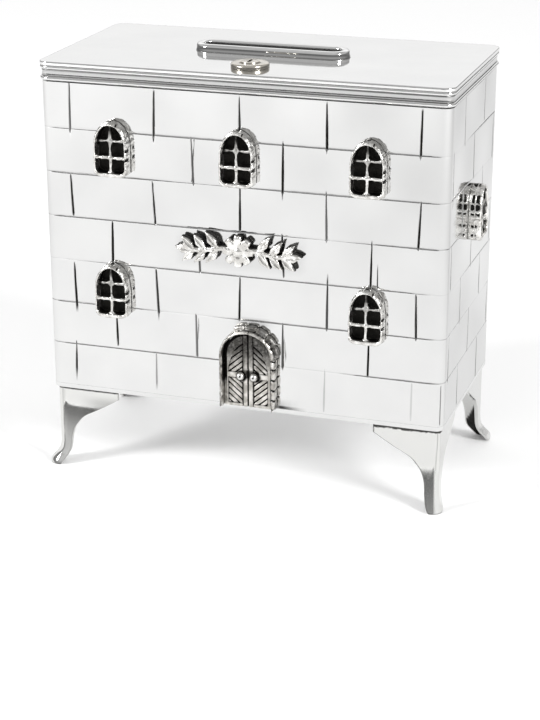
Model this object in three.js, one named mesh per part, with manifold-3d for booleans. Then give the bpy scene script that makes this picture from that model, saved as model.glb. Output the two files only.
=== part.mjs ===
import * as THREE from "three";
import { mergeVertices } from "three/addons/utils/BufferGeometryUtils.js";
import Module from "manifold-3d";

// A silver charity box in the form of a small stone house: four engraved walls on a base plate and
// four folded bracket feet, cast windows and a cast door, and a hinged lid with a coin slot and a lock.
// Millimetres, +Z up. The front faces -Y. The origin is on the floor, under the middle of the box.

const wasm = await Module();
wasm.setup();

// Walls: sheet silver, engraved as courses of squared stone
const BOX_WIDTH = 110;
const BOX_DEPTH = 55;
const CORNER_RADIUS = 2.5;
const WALL_THICKNESS = 1;
const COURSE_HEIGHT = 12;
const COURSE_COUNT = 7;
const BLOCKS_ROUND = 14;
const JOINT_WIDTH = 0.6;
const JOINT_DEPTH = 0.3;

// Base plate
const BASE_THICKNESS = 1.3;

// Feet: each is one sheet folded to a right angle, cut to a leg and flared at the toe
const FOOT_HEIGHT = 23.2;
const FOOT_SHEET = 1;
const FOOT_SETBACK = 0.85;
const FOOT_WING = 18;
const FOOT_WING_END = 2.5;
const FRONT_LEG_WIDTH = 3.8;
const FRONT_TOE_WIDTH = 4;
const BACK_LEG_WIDTH = 4.6;
const BACK_TOE_WIDTH = 6.8;
const FOOT_FLARE_HEIGHT = 6.8;
const FOOT_FOLD_RADIUS = 0.6;
const FOOT_TOE_RADIUS = 1.6;
// The tongue of a toe is rounded over this height, down to a share of its width at the floor
const TOE_ROUND_HEIGHT = 2.4;
const TOE_TIP_SHARE = 0.78;
// How far each toe is splayed outwards by hand, along the front and along the side
const FRONT_LEFT_SPLAY_X = 3;
const FRONT_LEFT_SPLAY_Y = 1.8;
const FRONT_RIGHT_SPLAY_X = 1.2;
const FRONT_RIGHT_SPLAY_Y = 2.2;
const BACK_SPLAY_X = 3;
const BACK_SPLAY_Y = 2.5;
// How far down the free height of the foot each station lies, and what is left there of the wing's
// extra width over the leg.
const FOOT_CURVE_SHARES = [
  [0.0, 1.0],
  [0.153, 0.63],
  [0.277, 0.3],
  [0.39, 0.145],
  [0.47, 0.07],
  [0.6, 0.015],
  [0.72, 0.0],
];

// Window castings
const OPENING_WIDTH = 8.1;
const OPENING_HEIGHT = 12.7;
const OPENING_RISE = 5.8;
const OPENING_CORNER = 1.4;
const WINDOW_RIM = 0.7;
const WINDOW_HEAD = 1.1;
const WINDOW_SILL = 1.3;
const WINDOW_FLARE = 0.35;
const WINDOW_PROJECTION = 3.5;
const WINDOW_BACK = 0.8;
const BAR_WIDTH = 0.85;
const BAR_SETBACK = 0.8;
const BAR_HEIGHT_SHARES = [0.33, 0.68];
const CROSSING_RADIUS = 0.75;
const NOTCH_WIDTH = 0.45;
const NOTCH_DEPTH = 0.35;
const WINDOW_VOUSSOIRS = 6;
const WINDOW_JAMB_NOTCH_SHARES = [0.3, 0.62];

// Window places: the upper openings hang below the walls' top, the others stand at shares of the
// walls' height, and the spacings are shares of the box's width
const UPPER_WINDOW_BELOW_TOP = 9.4;
const UPPER_WINDOW_SPACING_SHARE = 0.3136;
const LOWER_WINDOW_HEIGHT_SHARE = 0.275;
const LOWER_WINDOW_SPACING_SHARE = 0.3191;
const LOWER_WINDOW_SHIFT = -0.4;
const SIDE_WINDOW_HEIGHT_SHARE = 0.538;

// Door: a cast arch of voussoirs in two bands, and a pair of planked leaves set back in it
const DOOR_OFFSET = 2.3;
const DOOR_WIDTH = 13.4;
const DOOR_HEIGHT = 20.9;
const DOOR_RISE = 6.4;
const DOOR_RIM = 0.8;
const DOOR_FLARE = 0.4;
const DOOR_PROJECTION = 3.4;
const REAR_BAND_WIDTH = 1.1;
const REAR_BAND_PROJECTION = 2;
const DOOR_VOUSSOIRS = 9;
const REAR_VOUSSOIRS = 7;
const DOOR_JAMB_BLOCKS = 5;
const LEAF_THICKNESS = 1.5;
const LEAF_GAP = 0.2;
const STILE_WIDTH = 1;
const CENTRE_STILE_WIDTH = 1.4;
const MEETING_GROOVE_WIDTH = 0.5;
const RAIL_WIDTH = 1.3;
const RAIL_HEIGHT_SHARE = 0.45;
const PANEL_DEPTH = 0.35;
const PLANK_PITCH = 1.35;
const PLANK_GROOVE_WIDTH = 0.5;
const PLANK_GROOVE_DEPTH = 0.35;
const PLANK_GROOVE_MARGIN = 0.12;
const PLANK_ANGLE = THREE.MathUtils.degToRad(40);
const KNOB_RADIUS = 0.8;
const KNOB_SPACING = 3.7;
const KNOB_SINK = 0.15;

// Applied ornament: an olive spray cut from thick sheet, spread from a rosette
const SPRAY_THICKNESS = 2.6;
const SPRAY_LENGTH = 35.6;
// How far up its middle lies between the door's head and the upper middle window
const SPRAY_HEIGHT_SHARE = 0.54;
const STEM_WIDTH = 1.3;
const STEM_WAVE = 0.5;
const LEAF_LENGTH = 6.3;
const LEAF_WIDTH = 2.2;
const LEAF_PITCH = 3.3;
const LEAF_ANGLE = THREE.MathUtils.degToRad(50);
const LEAF_BELLY_SHARE = 0.42;
const ROSETTE_RADIUS = 4.4;
const ROSETTE_PETALS = 8;
const ROSETTE_EYE_SHARE = 0.36;

// Lid: a top plate on a moulded band, with an inner flange that drops inside the walls
const LID_GAP = 0.3;
const BAND_HEIGHT = 4;
const BAND_PROUD = 0.5;
const BAND_HOLLOW = 0.45;
const BAND_BEAD = 1.1;
const LID_THICKNESS = 1;
const LID_EDGE_ROUND = 0.35;
const FLANGE_THICKNESS = 0.8;
const FLANGE_CLEARANCE = 0.5;
const FLANGE_DEPTH = 4;

// Coin slot with its raised collar
const SLOT_LENGTH = 38;
const SLOT_WIDTH = 5;
const COLLAR_WIDTH = 2.2;
const COLLAR_HEIGHT = 2;
const COLLAR_ROUND = 0.7;

// Hinge: five knuckles on one pin along the top of the back wall
const KNUCKLE_COUNT = 5;
const KNUCKLE_LENGTH = 10;
const KNUCKLE_RADIUS = 1.4;
const KNUCKLE_GAP = 0.3;
const HINGE_STANDOFF = 0.2;
const PIN_RADIUS = 0.65;
const PIN_CLEARANCE = 0.15;
const PIN_HEAD_RADIUS = 1.1;
const PIN_HEAD_THICKNESS = 0.5;
const HINGE_LEAF_THICKNESS = 0.6;
const HINGE_LEAF_HEIGHT = 4.2;
const LID_LEAF_HEIGHT = 2.6;
const HINGE_WEB = 0.9;

// Lock: a small cam lock through the lid, behind the front wall
const LOCK_FROM_FRONT = 9;
const LOCK_FLANGE_RADIUS = 5;
const LOCK_FLANGE_THICKNESS = 1.3;
const LOCK_FLANGE_ROUND = 0.5;
const LOCK_BODY_RADIUS = 3.5;
const LOCK_HOLE_CLEARANCE = 0.3;
const LOCK_NUT_FLATS = 9.6;
const LOCK_NUT_THICKNESS = 1.8;
const PLUG_RADIUS = 2.4;
const PLUG_CLEARANCE = 0.2;
const PLUG_PROUD = 0.3;
const KEYWAY_LENGTH = 3.2;
const KEYWAY_WIDTH = 0.9;
const KEYWAY_DEPTH = 4;
const CAM_THICKNESS = 1.2;
const CAM_CLEARANCE = 0.3;
const CAM_WIDTH = 4.4;
const CAM_SCREW_RADIUS = 1.7;
const CAM_SCREW_HEAD = 1;
const CAM_SCREW_SLOT = 0.5;

// Strike: a folded tab inside the front wall, under which the cam turns
const STRIKE_WIDTH = 9;
const STRIKE_SHEET = 0.8;
const STRIKE_HEIGHT = 5;
const STRIKE_STANDOFF = 1.3;
const STRIKE_CLEARANCE = 0.4;

// How finely curves are divided
const CORNER_STEPS = 4;
const ARCH_STEPS = 10;
const FOOT_FOLD_STEPS = 4;
const TOE_STEPS = 3;
const TURNED_STEPS = 24;
const KNUCKLE_STEPS = 18;
const LEAF_STEPS = 2;
const STEM_STEPS = 10;
// How far a cut runs past the face that it opens
const OVERRUN = 0.6;

// Levels and planes worked out from the sizes above
const WALL_FOOT = FOOT_HEIGHT + BASE_THICKNESS;
const WALL_HEIGHT = COURSE_HEIGHT * COURSE_COUNT;
const WALL_TOP = WALL_FOOT + WALL_HEIGHT;
const LID_BOTTOM = WALL_TOP + LID_GAP;
const LID_TOP = LID_BOTTOM + BAND_HEIGHT + LID_THICKNESS;
const PLATE_BOTTOM = LID_BOTTOM + BAND_HEIGHT;
const UPPER_WINDOW_HEIGHT = WALL_HEIGHT - UPPER_WINDOW_BELOW_TOP - OPENING_HEIGHT;
const DOOR_HEAD = DOOR_HEIGHT + DOOR_RIM + REAR_BAND_WIDTH;
const UPPER_SILL = UPPER_WINDOW_HEIGHT - WINDOW_SILL;
const QUARTER_TURN = Math.PI / 2;

// Turns a closed three.js geometry into a solid that can be cut and joined.
function solidOf(geometry) {
  const bare = geometry.clone();
  bare.deleteAttribute("normal");
  bare.deleteAttribute("uv");
  const merged = mergeVertices(bare);
  return new wasm.Manifold(
    new wasm.Mesh({
      numProp: 3,
      vertProperties: new Float32Array(merged.attributes.position.array),
      triVerts: new Uint32Array(merged.index.array),
    }),
  );
}

// Turns a solid back into a three.js geometry.
function geometryOf(solid) {
  const mesh = solid.getMesh();
  const geometry = new THREE.BufferGeometry();
  geometry.setAttribute("position", new THREE.BufferAttribute(mesh.vertProperties, 3));
  geometry.setIndex(new THREE.BufferAttribute(mesh.triVerts, 1));
  geometry.computeVertexNormals();
  return geometry;
}

// Joins a list of solids into one.
function joined(solids) {
  return solids.reduce((sum, solid) => sum.add(solid));
}

// Points along an elliptical arc.
function arcPoints(centreX, centreY, radiusX, radiusY, from, to, steps) {
  return Array.from({ length: steps + 1 }, (_, step) => {
    const angle = from + ((to - from) * step) / steps;
    return new THREE.Vector2(
      centreX + radiusX * Math.cos(angle),
      centreY + radiusY * Math.sin(angle),
    );
  });
}

// A rectangle with rounded corners, centred on the origin.
function roundedRectangle(width, depth, radius, steps = CORNER_STEPS) {
  const x = width / 2 - radius;
  const y = depth / 2 - radius;
  const corners = [
    [x, y],
    [-x, y],
    [-x, -y],
    [x, -y],
  ];
  return corners.flatMap(([cornerX, cornerY], corner) =>
    arcPoints(
      cornerX,
      cornerY,
      radius,
      radius,
      corner * QUARTER_TURN,
      (corner + 1) * QUARTER_TURN,
      steps,
    ),
  );
}

// The plan of the box, grown or shrunk all round by an offset.
function boxPlan(offset) {
  return roundedRectangle(
    BOX_WIDTH + 2 * offset,
    BOX_DEPTH + 2 * offset,
    Math.max(CORNER_RADIUS + offset, JOINT_DEPTH / 2),
  );
}

// An outline with an elliptical head, standing on the line y = foot.
function archOutline(halfWidth, foot, height, rise, cornerRadius) {
  const head = arcPoints(0, height - rise, halfWidth, rise, 0, Math.PI, ARCH_STEPS);
  if (cornerRadius === 0) {
    return [new THREE.Vector2(-halfWidth, foot), new THREE.Vector2(halfWidth, foot), ...head];
  }
  const inset = halfWidth - cornerRadius;
  const level = foot + cornerRadius;
  return [
    ...arcPoints(
      -inset, level, cornerRadius, cornerRadius, Math.PI, 3 * QUARTER_TURN, CORNER_STEPS - 1,
    ),
    ...arcPoints(
      inset, level, cornerRadius, cornerRadius, 3 * QUARTER_TURN, 4 * QUARTER_TURN, CORNER_STEPS - 1,
    ),
    ...head,
  ];
}

// A solid through a stack of level outlines that have the same number of points.
function loft(sections) {
  const count = sections[0].outline.length;
  const positions = sections.flatMap(({ level, outline }) =>
    outline.flatMap((point) => [point.x, point.y, level]),
  );
  const triangles = [];
  for (let ring = 0; ring + 1 < sections.length; ring += 1) {
    for (let point = 0; point < count; point += 1) {
      const next = (point + 1) % count;
      const low = ring * count;
      const high = low + count;
      triangles.push(low + point, low + next, high + next);
      triangles.push(low + point, high + next, high + point);
    }
  }
  const last = (sections.length - 1) * count;
  THREE.ShapeUtils.triangulateShape(sections[0].outline, []).forEach(([a, b, c]) => {
    triangles.push(c, b, a);
  });
  THREE.ShapeUtils.triangulateShape(sections.at(-1).outline, []).forEach(([a, b, c]) => {
    triangles.push(last + a, last + b, last + c);
  });
  const geometry = new THREE.BufferGeometry();
  geometry.setAttribute("position", new THREE.Float32BufferAttribute(positions, 3));
  geometry.setIndex(triangles);
  return solidOf(geometry.toNonIndexed());
}

// A straight-sided solid between two levels.
function prism(outline, from, to) {
  const geometry = new THREE.ExtrudeGeometry(new THREE.Shape(outline), {
    depth: to - from,
    bevelEnabled: false,
  });
  geometry.translate(0, 0, from);
  return solidOf(geometry);
}

// A box given by its lowest corner and its sizes.
function block(x, y, z, width, depth, height) {
  const geometry = new THREE.BoxGeometry(width, depth, height);
  geometry.translate(x + width / 2, y + depth / 2, z + height / 2);
  return solidOf(geometry);
}

// A solid turned round the Z axis from a profile of radius and level.
function turned(profile, steps = TURNED_STEPS) {
  const points = profile.map(([radius, level]) => new THREE.Vector2(radius, level));
  const geometry = new THREE.LatheGeometry(points, steps);
  geometry.rotateX(QUARTER_TURN);
  return solidOf(geometry);
}

// Moves a solid by a three.js matrix.
function moved(solid, matrix) {
  return solid.transform(matrix.elements);
}

// Materials
const polishedSilver = () =>
  new THREE.MeshStandardMaterial({ color: 0xe9e9e7, roughness: 0.12, metalness: 1 });
const castSilver = () =>
  new THREE.MeshStandardMaterial({ color: 0xb9b8b4, roughness: 0.3, metalness: 1 });
const oxidisedSilver = () =>
  new THREE.MeshStandardMaterial({ color: 0x4a4947, roughness: 0.45, metalness: 1 });
const lockSteel = () =>
  new THREE.MeshStandardMaterial({ color: 0xc9c8c4, roughness: 0.25, metalness: 1 });

const charityBox = new THREE.Group();

// Adds one named piece to a group.
function addPiece(group, name, solid, material) {
  const mesh = new THREE.Mesh(geometryOf(solid), material());
  mesh.name = name;
  group.add(mesh);
  return mesh;
}

// Walls

// Where a vertical joint stands on the plan, a distance along the outer face from the middle of the
// front, and the way the wall faces there.
function placeOnPlan(distance) {
  const straightFront = BOX_WIDTH / 2 - CORNER_RADIUS;
  const straightSide = BOX_DEPTH - 2 * CORNER_RADIUS;
  const corner = QUARTER_TURN * CORNER_RADIUS;
  const halfWidth = BOX_WIDTH / 2;
  const halfDepth = BOX_DEPTH / 2;
  const side = Math.sign(distance) || 1;
  const run = Math.abs(distance);
  let x = 0;
  let y = 0;
  let facing = 0;
  if (run <= straightFront) {
    x = run;
    y = -halfDepth;
  } else if (run <= straightFront + corner) {
    facing = (run - straightFront) / CORNER_RADIUS;
    x = straightFront + CORNER_RADIUS * Math.sin(facing);
    y = -halfDepth + CORNER_RADIUS - CORNER_RADIUS * Math.cos(facing);
  } else if (run <= straightFront + corner + straightSide) {
    facing = QUARTER_TURN;
    x = halfWidth;
    y = -halfDepth + CORNER_RADIUS + run - straightFront - corner;
  } else if (run <= straightFront + 2 * corner + straightSide) {
    facing = QUARTER_TURN + (run - straightFront - corner - straightSide) / CORNER_RADIUS;
    x = straightFront + CORNER_RADIUS * Math.sin(facing);
    y = halfDepth - CORNER_RADIUS - CORNER_RADIUS * Math.cos(facing);
  } else {
    facing = Math.PI;
    x = 2 * straightFront + 2 * corner + straightSide - run;
    y = halfDepth;
  }
  return { x: side * x, y, facing: side * facing };
}

// The distances of the vertical joints in one course: equal blocks all round the box, with a joint
// at the middle of the front in every second course and a block's middle there in the others.
function jointDistances(course) {
  const halfRound =
    BOX_WIDTH + BOX_DEPTH - 4 * CORNER_RADIUS + 2 * QUARTER_TURN * CORNER_RADIUS;
  const blockLength = (2 * halfRound) / BLOCKS_ROUND;
  const first = course % 2 === 0 ? 1 : 1 / 2;
  return Array.from(
    { length: BLOCKS_ROUND },
    (_, joint) => (joint + first) * blockLength - halfRound,
  );
}

// A vertical joint: a three-sided bar whose edge points into the wall.
function verticalJoint(distance, course) {
  const { x, y, facing } = placeOnPlan(distance);
  const reach = (JOINT_WIDTH / 2) * (1 + OVERRUN / JOINT_DEPTH);
  const section = [
    new THREE.Vector2(0, JOINT_DEPTH),
    new THREE.Vector2(-reach, -OVERRUN),
    new THREE.Vector2(reach, -OVERRUN),
  ];
  const foot = WALL_FOOT + course * COURSE_HEIGHT;
  const matrix = new THREE.Matrix4().makeRotationZ(facing);
  matrix.setPosition(x, y, 0);
  return moved(prism(section, foot, foot + COURSE_HEIGHT), matrix);
}

function wallShell() {
  const sections = [{ level: WALL_FOOT, outline: boxPlan(0) }];
  for (let course = 1; course < COURSE_COUNT; course += 1) {
    const line = WALL_FOOT + course * COURSE_HEIGHT;
    sections.push({ level: line - JOINT_WIDTH / 2, outline: boxPlan(0) });
    sections.push({ level: line, outline: boxPlan(-JOINT_DEPTH) });
    sections.push({ level: line + JOINT_WIDTH / 2, outline: boxPlan(0) });
  }
  sections.push({ level: WALL_TOP, outline: boxPlan(0) });
  const courses = Array.from({ length: COURSE_COUNT }, (_, course) => course);
  const joints = courses.flatMap((course) =>
    jointDistances(course).map((distance) => verticalJoint(distance, course)),
  );
  const inside = prism(boxPlan(-WALL_THICKNESS), WALL_FOOT - OVERRUN, WALL_TOP + OVERRUN);
  return loft(sections).subtract(inside).subtract(joined(joints));
}

addPiece(charityBox, "wall_shell", wallShell(), polishedSilver);
addPiece(charityBox, "base_plate", prism(boxPlan(0), FOOT_HEIGHT, WALL_FOOT), polishedSilver);

// Feet

// The level section of a foot: two arms at a right angle, joined by a rounded ridge at the outer
// corner. The ridge points to +X -Y.
function footSection(armLength, ridgeX, ridgeY, radius) {
  const outerX = BOX_WIDTH / 2 - FOOT_SETBACK + ridgeX;
  const outerY = BOX_DEPTH / 2 - FOOT_SETBACK + ridgeY;
  const bendX = outerX - radius;
  const bendY = -outerY + radius;
  const inner = radius - FOOT_SHEET;
  const fold = 3 * QUARTER_TURN;
  return [
    new THREE.Vector2(outerX - armLength, -outerY),
    ...arcPoints(bendX, bendY, radius, radius, fold, fold + QUARTER_TURN, FOOT_FOLD_STEPS),
    new THREE.Vector2(outerX, -outerY + armLength),
    new THREE.Vector2(outerX - FOOT_SHEET, -outerY + armLength),
    ...arcPoints(bendX, bendY, inner, inner, fold + QUARTER_TURN, fold, FOOT_FOLD_STEPS),
    new THREE.Vector2(outerX - armLength, -outerY + FOOT_SHEET),
  ];
}

// The toe leaves the upright leg on a curve and comes back to upright at the floor.
function flareAt(level) {
  const down = Math.max(0, 1 - level / FOOT_FLARE_HEIGHT);
  return down * down * (3 - 2 * down);
}

// A foot whose toe is splayed by its own two distances. Its ridge points to +X -Y.
function foot(legWidth, toeWidth, splayX, splayY) {
  const curveTop = FOOT_HEIGHT - FOOT_WING_END;
  const stations = [{ level: FOOT_HEIGHT, arm: FOOT_WING, tongue: 1 }];
  FOOT_CURVE_SHARES.forEach(([downShare, widthShare]) => {
    const arm = legWidth + (FOOT_WING - legWidth) * widthShare;
    stations.push({ level: curveTop * (1 - downShare), arm, tongue: 1 });
  });
  const legFoot = stations.at(-1).level;
  for (let step = 1; step < TOE_STEPS; step += 1) {
    const level = legFoot + ((TOE_ROUND_HEIGHT - legFoot) * step) / TOE_STEPS;
    stations.push({ level, arm: legWidth, tongue: 1 });
  }
  for (let step = 0; step <= TOE_STEPS; step += 1) {
    const turn = (QUARTER_TURN * step) / TOE_STEPS;
    const tongue = TOE_TIP_SHARE + (1 - TOE_TIP_SHARE) * Math.cos(turn);
    stations.push({ level: TOE_ROUND_HEIGHT * (1 - Math.sin(turn)), arm: legWidth, tongue });
  }
  const sections = stations.map(({ level, arm, tongue }) => {
    const flare = flareAt(level);
    const ridgeX = splayX * flare;
    const ridgeY = splayY * flare;
    const radius = FOOT_SHEET + FOOT_FOLD_RADIUS + (FOOT_TOE_RADIUS - FOOT_FOLD_RADIUS) * flare;
    const armLength = (arm + (toeWidth - legWidth) * flare) * tongue;
    return { level, outline: footSection(armLength, ridgeX, ridgeY, radius) };
  });
  return loft(sections.reverse());
}

const FEET = [
  {
    name: "foot_front_left",
    sides: [-1, 1],
    widths: [FRONT_LEG_WIDTH, FRONT_TOE_WIDTH],
    splay: [FRONT_LEFT_SPLAY_X, FRONT_LEFT_SPLAY_Y],
  },
  {
    name: "foot_front_right",
    sides: [1, 1],
    widths: [FRONT_LEG_WIDTH, FRONT_TOE_WIDTH],
    splay: [FRONT_RIGHT_SPLAY_X, FRONT_RIGHT_SPLAY_Y],
  },
  {
    name: "foot_back_left",
    sides: [-1, -1],
    widths: [BACK_LEG_WIDTH, BACK_TOE_WIDTH],
    splay: [BACK_SPLAY_X, BACK_SPLAY_Y],
  },
  {
    name: "foot_back_right",
    sides: [1, -1],
    widths: [BACK_LEG_WIDTH, BACK_TOE_WIDTH],
    splay: [BACK_SPLAY_X, BACK_SPLAY_Y],
  },
];
FEET.forEach(({ name, sides, widths, splay }) => {
  const mirror = new THREE.Matrix4().makeScale(...sides, 1);
  addPiece(charityBox, name, moved(foot(...widths, ...splay), mirror), polishedSilver);
});

// The four wall faces, each with X along the wall, Y up from the wall's foot and Z outwards
function wallFace(turn, distance) {
  const face = new THREE.Group();
  const plane = new THREE.Group();
  face.rotation.z = turn;
  plane.rotation.x = QUARTER_TURN;
  plane.position.set(0, -distance, WALL_FOOT);
  face.add(plane);
  charityBox.add(face);
  return plane;
}
const frontWall = wallFace(0, BOX_DEPTH / 2);
const rightWall = wallFace(QUARTER_TURN, BOX_WIDTH / 2);
const backWall = wallFace(2 * QUARTER_TURN, BOX_DEPTH / 2);
const leftWall = wallFace(-QUARTER_TURN, BOX_WIDTH / 2);

// Cuts for the joints between the voussoirs of an arch, as radial bars through its outer face.
function archNotches(halfWidth, springing, rise, voussoirs, from, to) {
  return Array.from({ length: voussoirs - 1 }, (_, joint) => {
    const angle = (Math.PI * (joint + 1)) / voussoirs;
    const x = halfWidth * Math.cos(angle);
    const y = springing + rise * Math.sin(angle);
    const slope = Math.atan2(halfWidth * Math.sin(angle), rise * Math.cos(angle));
    const cut = block(
      -NOTCH_DEPTH, -NOTCH_WIDTH / 2, from, NOTCH_DEPTH + OVERRUN, NOTCH_WIDTH, to - from,
    );
    const matrix = new THREE.Matrix4().makeRotationZ(slope);
    matrix.setPosition(x, y, 0);
    return moved(cut, matrix);
  });
}

// Cuts across the outer faces of both jambs at one height.
function jambNotches(halfWidth, height, from, to) {
  return [-1, 1].map((side) => {
    const middle = side * halfWidth;
    const reach = NOTCH_DEPTH + OVERRUN;
    const low = side > 0 ? middle - NOTCH_DEPTH : middle - OVERRUN;
    return block(low, height - NOTCH_WIDTH / 2, from, reach, NOTCH_WIDTH, to - from);
  });
}

// Windows

// One window: a back, an arched frame with stone joints and a grille of three bars.
// Y is measured from the foot of the opening.
function windowCasting() {
  const halfOpening = OPENING_WIDTH / 2;
  const halfFrame = halfOpening + WINDOW_RIM;
  const frameOutline = (grow) =>
    archOutline(
      halfFrame + grow,
      -WINDOW_SILL - grow,
      OPENING_HEIGHT + WINDOW_HEAD + grow,
      OPENING_RISE + WINDOW_HEAD,
      OPENING_CORNER + grow,
    );
  const openingOutline = archOutline(
    halfOpening, 0, OPENING_HEIGHT, OPENING_RISE, OPENING_CORNER,
  );
  const body = loft([
    { level: 0, outline: frameOutline(WINDOW_FLARE) },
    { level: WINDOW_PROJECTION, outline: frameOutline(0) },
  ]);
  const recess = prism(openingOutline, WINDOW_BACK, WINDOW_PROJECTION + OVERRUN);
  const barTop = WINDOW_PROJECTION - BAR_SETBACK;
  const barLow = WINDOW_BACK / 2;
  const upright = block(
    -BAR_WIDTH / 2, 0, barLow, BAR_WIDTH, OPENING_HEIGHT, barTop - barLow,
  );
  const crossbars = BAR_HEIGHT_SHARES.map((share) =>
    block(
      -halfOpening, share * OPENING_HEIGHT - BAR_WIDTH / 2, barLow,
      OPENING_WIDTH, BAR_WIDTH, barTop - barLow,
    ),
  );
  const crossings = BAR_HEIGHT_SHARES.map((share) => {
    const ball = new THREE.OctahedronGeometry(CROSSING_RADIUS, 1);
    ball.translate(0, share * OPENING_HEIGHT, barTop - CROSSING_RADIUS / 2);
    return solidOf(ball);
  });
  const inFrame = prism(openingOutline, 0, WINDOW_PROJECTION);
  const grille = joined([upright, ...crossbars, ...crossings]).intersect(inFrame);
  const springing = OPENING_HEIGHT - OPENING_RISE;
  const headRise = OPENING_RISE + WINDOW_HEAD;
  const notchFoot = WINDOW_BACK;
  const notchTop = WINDOW_PROJECTION + OVERRUN;
  const notches = [
    ...archNotches(halfFrame, springing, headRise, WINDOW_VOUSSOIRS, notchFoot, notchTop),
    ...WINDOW_JAMB_NOTCH_SHARES.flatMap((share) =>
      jambNotches(halfFrame, share * springing, notchFoot, notchTop),
    ),
  ];
  return body.subtract(recess).add(grille).subtract(joined(notches));
}

const upperSpacing = UPPER_WINDOW_SPACING_SHARE * BOX_WIDTH;
const lowerSpacing = LOWER_WINDOW_SPACING_SHARE * BOX_WIDTH;
const lowerHeight = LOWER_WINDOW_HEIGHT_SHARE * WALL_HEIGHT;
const sideHeight = SIDE_WINDOW_HEIGHT_SHARE * WALL_HEIGHT;
const WINDOWS = [
  ["window_upper_left", frontWall, -upperSpacing, UPPER_WINDOW_HEIGHT],
  ["window_upper_middle", frontWall, 0, UPPER_WINDOW_HEIGHT],
  ["window_upper_right", frontWall, upperSpacing, UPPER_WINDOW_HEIGHT],
  ["window_lower_left", frontWall, LOWER_WINDOW_SHIFT - lowerSpacing, lowerHeight],
  ["window_lower_right", frontWall, LOWER_WINDOW_SHIFT + lowerSpacing, lowerHeight],
  ["window_side_right", rightWall, 0, sideHeight],
  ["window_side_left", leftWall, 0, sideHeight],
  ["window_back_left", backWall, upperSpacing, UPPER_WINDOW_HEIGHT],
  ["window_back_middle", backWall, 0, UPPER_WINDOW_HEIGHT],
  ["window_back_right", backWall, -upperSpacing, UPPER_WINDOW_HEIGHT],
];
const windowSolid = windowCasting();
WINDOWS.forEach(([name, face, along, height]) => {
  addPiece(face, name, windowSolid, castSilver).position.set(along, height, 0);
});

// Door

// The surround: a narrow arch and jambs at full projection, backed over the arch by a wider band.
function doorSurround() {
  const halfOpening = DOOR_WIDTH / 2;
  const halfFrame = halfOpening + DOOR_RIM;
  const springing = DOOR_HEIGHT - DOOR_RISE;
  const rise = DOOR_RISE + DOOR_RIM;
  const frame = loft([
    {
      level: 0,
      outline: archOutline(
        halfFrame + DOOR_FLARE, 0, DOOR_HEIGHT + DOOR_RIM + DOOR_FLARE, rise + DOOR_FLARE, 0,
      ),
    },
    {
      level: DOOR_PROJECTION,
      outline: archOutline(halfFrame, 0, DOOR_HEIGHT + DOOR_RIM, rise, 0),
    },
  ]);
  const bandHalf = halfFrame + REAR_BAND_WIDTH;
  const bandRise = rise + REAR_BAND_WIDTH;
  const bandOutline = archOutline(bandHalf, springing, springing + bandRise, bandRise, 0);
  const band = prism(bandOutline, 0, REAR_BAND_PROJECTION);
  const opening = prism(
    archOutline(halfOpening, -OVERRUN, DOOR_HEIGHT, DOOR_RISE, 0),
    -OVERRUN,
    DOOR_PROJECTION + OVERRUN,
  );
  const frontLevel = DOOR_PROJECTION + OVERRUN;
  const bandNotches = archNotches(
    bandHalf, springing, bandRise, REAR_VOUSSOIRS, 0, REAR_BAND_PROJECTION + OVERRUN,
  );
  const frameNotches = archNotches(
    halfFrame, springing, rise, DOOR_VOUSSOIRS, REAR_BAND_PROJECTION, frontLevel,
  );
  const jambLevels = Array.from({ length: DOOR_JAMB_BLOCKS - 1 }, (_, joint) => joint + 1);
  const sideNotches = jambLevels.flatMap((joint) =>
    jambNotches(
      halfFrame, (springing * joint) / DOOR_JAMB_BLOCKS, LEAF_THICKNESS / 2, frontLevel,
    ),
  );
  return frame
    .add(band)
    .subtract(opening)
    .subtract(joined([...bandNotches, ...frameNotches, ...sideNotches]));
}

// One sunk panel of a leaf, drawn in by an inset: the space between the leaf's edge, the stiles and
// the rails. Side is -1 or 1 and a row gives the levels of its foot and head.
function doorPanel(side, row, inset, from, to) {
  const margin = STILE_WIDTH + inset;
  const halfLeaves = DOOR_WIDTH / 2 - LEAF_GAP;
  const height = DOOR_HEIGHT - LEAF_GAP;
  const rise = DOOR_RISE - LEAF_GAP;
  const inStiles = prism(
    archOutline(halfLeaves - margin, margin, height - margin, rise - margin, 0), from, to,
  );
  const near = CENTRE_STILE_WIDTH + MEETING_GROOVE_WIDTH / 2 + inset;
  const low = side > 0 ? near : -halfLeaves;
  const rowFoot = row.foot + inset;
  const between = block(
    low, rowFoot, from, halfLeaves - near, row.head - inset - rowFoot, to - from,
  );
  return between.intersect(inStiles);
}

// Straight grooves between the planks of one panel, which slant one way or the other with lean.
function plankGrooves(panel, lean, top) {
  const { min, max } = panel.boundingBox();
  const middleX = (min[0] + max[0]) / 2;
  const middleY = (min[1] + max[1]) / 2;
  const reach = Math.hypot(max[0] - min[0], max[1] - min[1]);
  const count = Math.floor(reach / 2 / PLANK_PITCH);
  const grooves = [];
  for (let row = -count; row <= count; row += 1) {
    const cut = block(
      -reach / 2, row * PLANK_PITCH - PLANK_GROOVE_WIDTH / 2, top - PLANK_GROOVE_DEPTH,
      reach, PLANK_GROOVE_WIDTH, PLANK_GROOVE_DEPTH + OVERRUN,
    );
    const matrix = new THREE.Matrix4().makeRotationZ(lean * PLANK_ANGLE);
    matrix.setPosition(middleX, middleY, 0);
    grooves.push(moved(cut, matrix));
  }
  return joined(grooves).intersect(panel);
}

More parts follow.
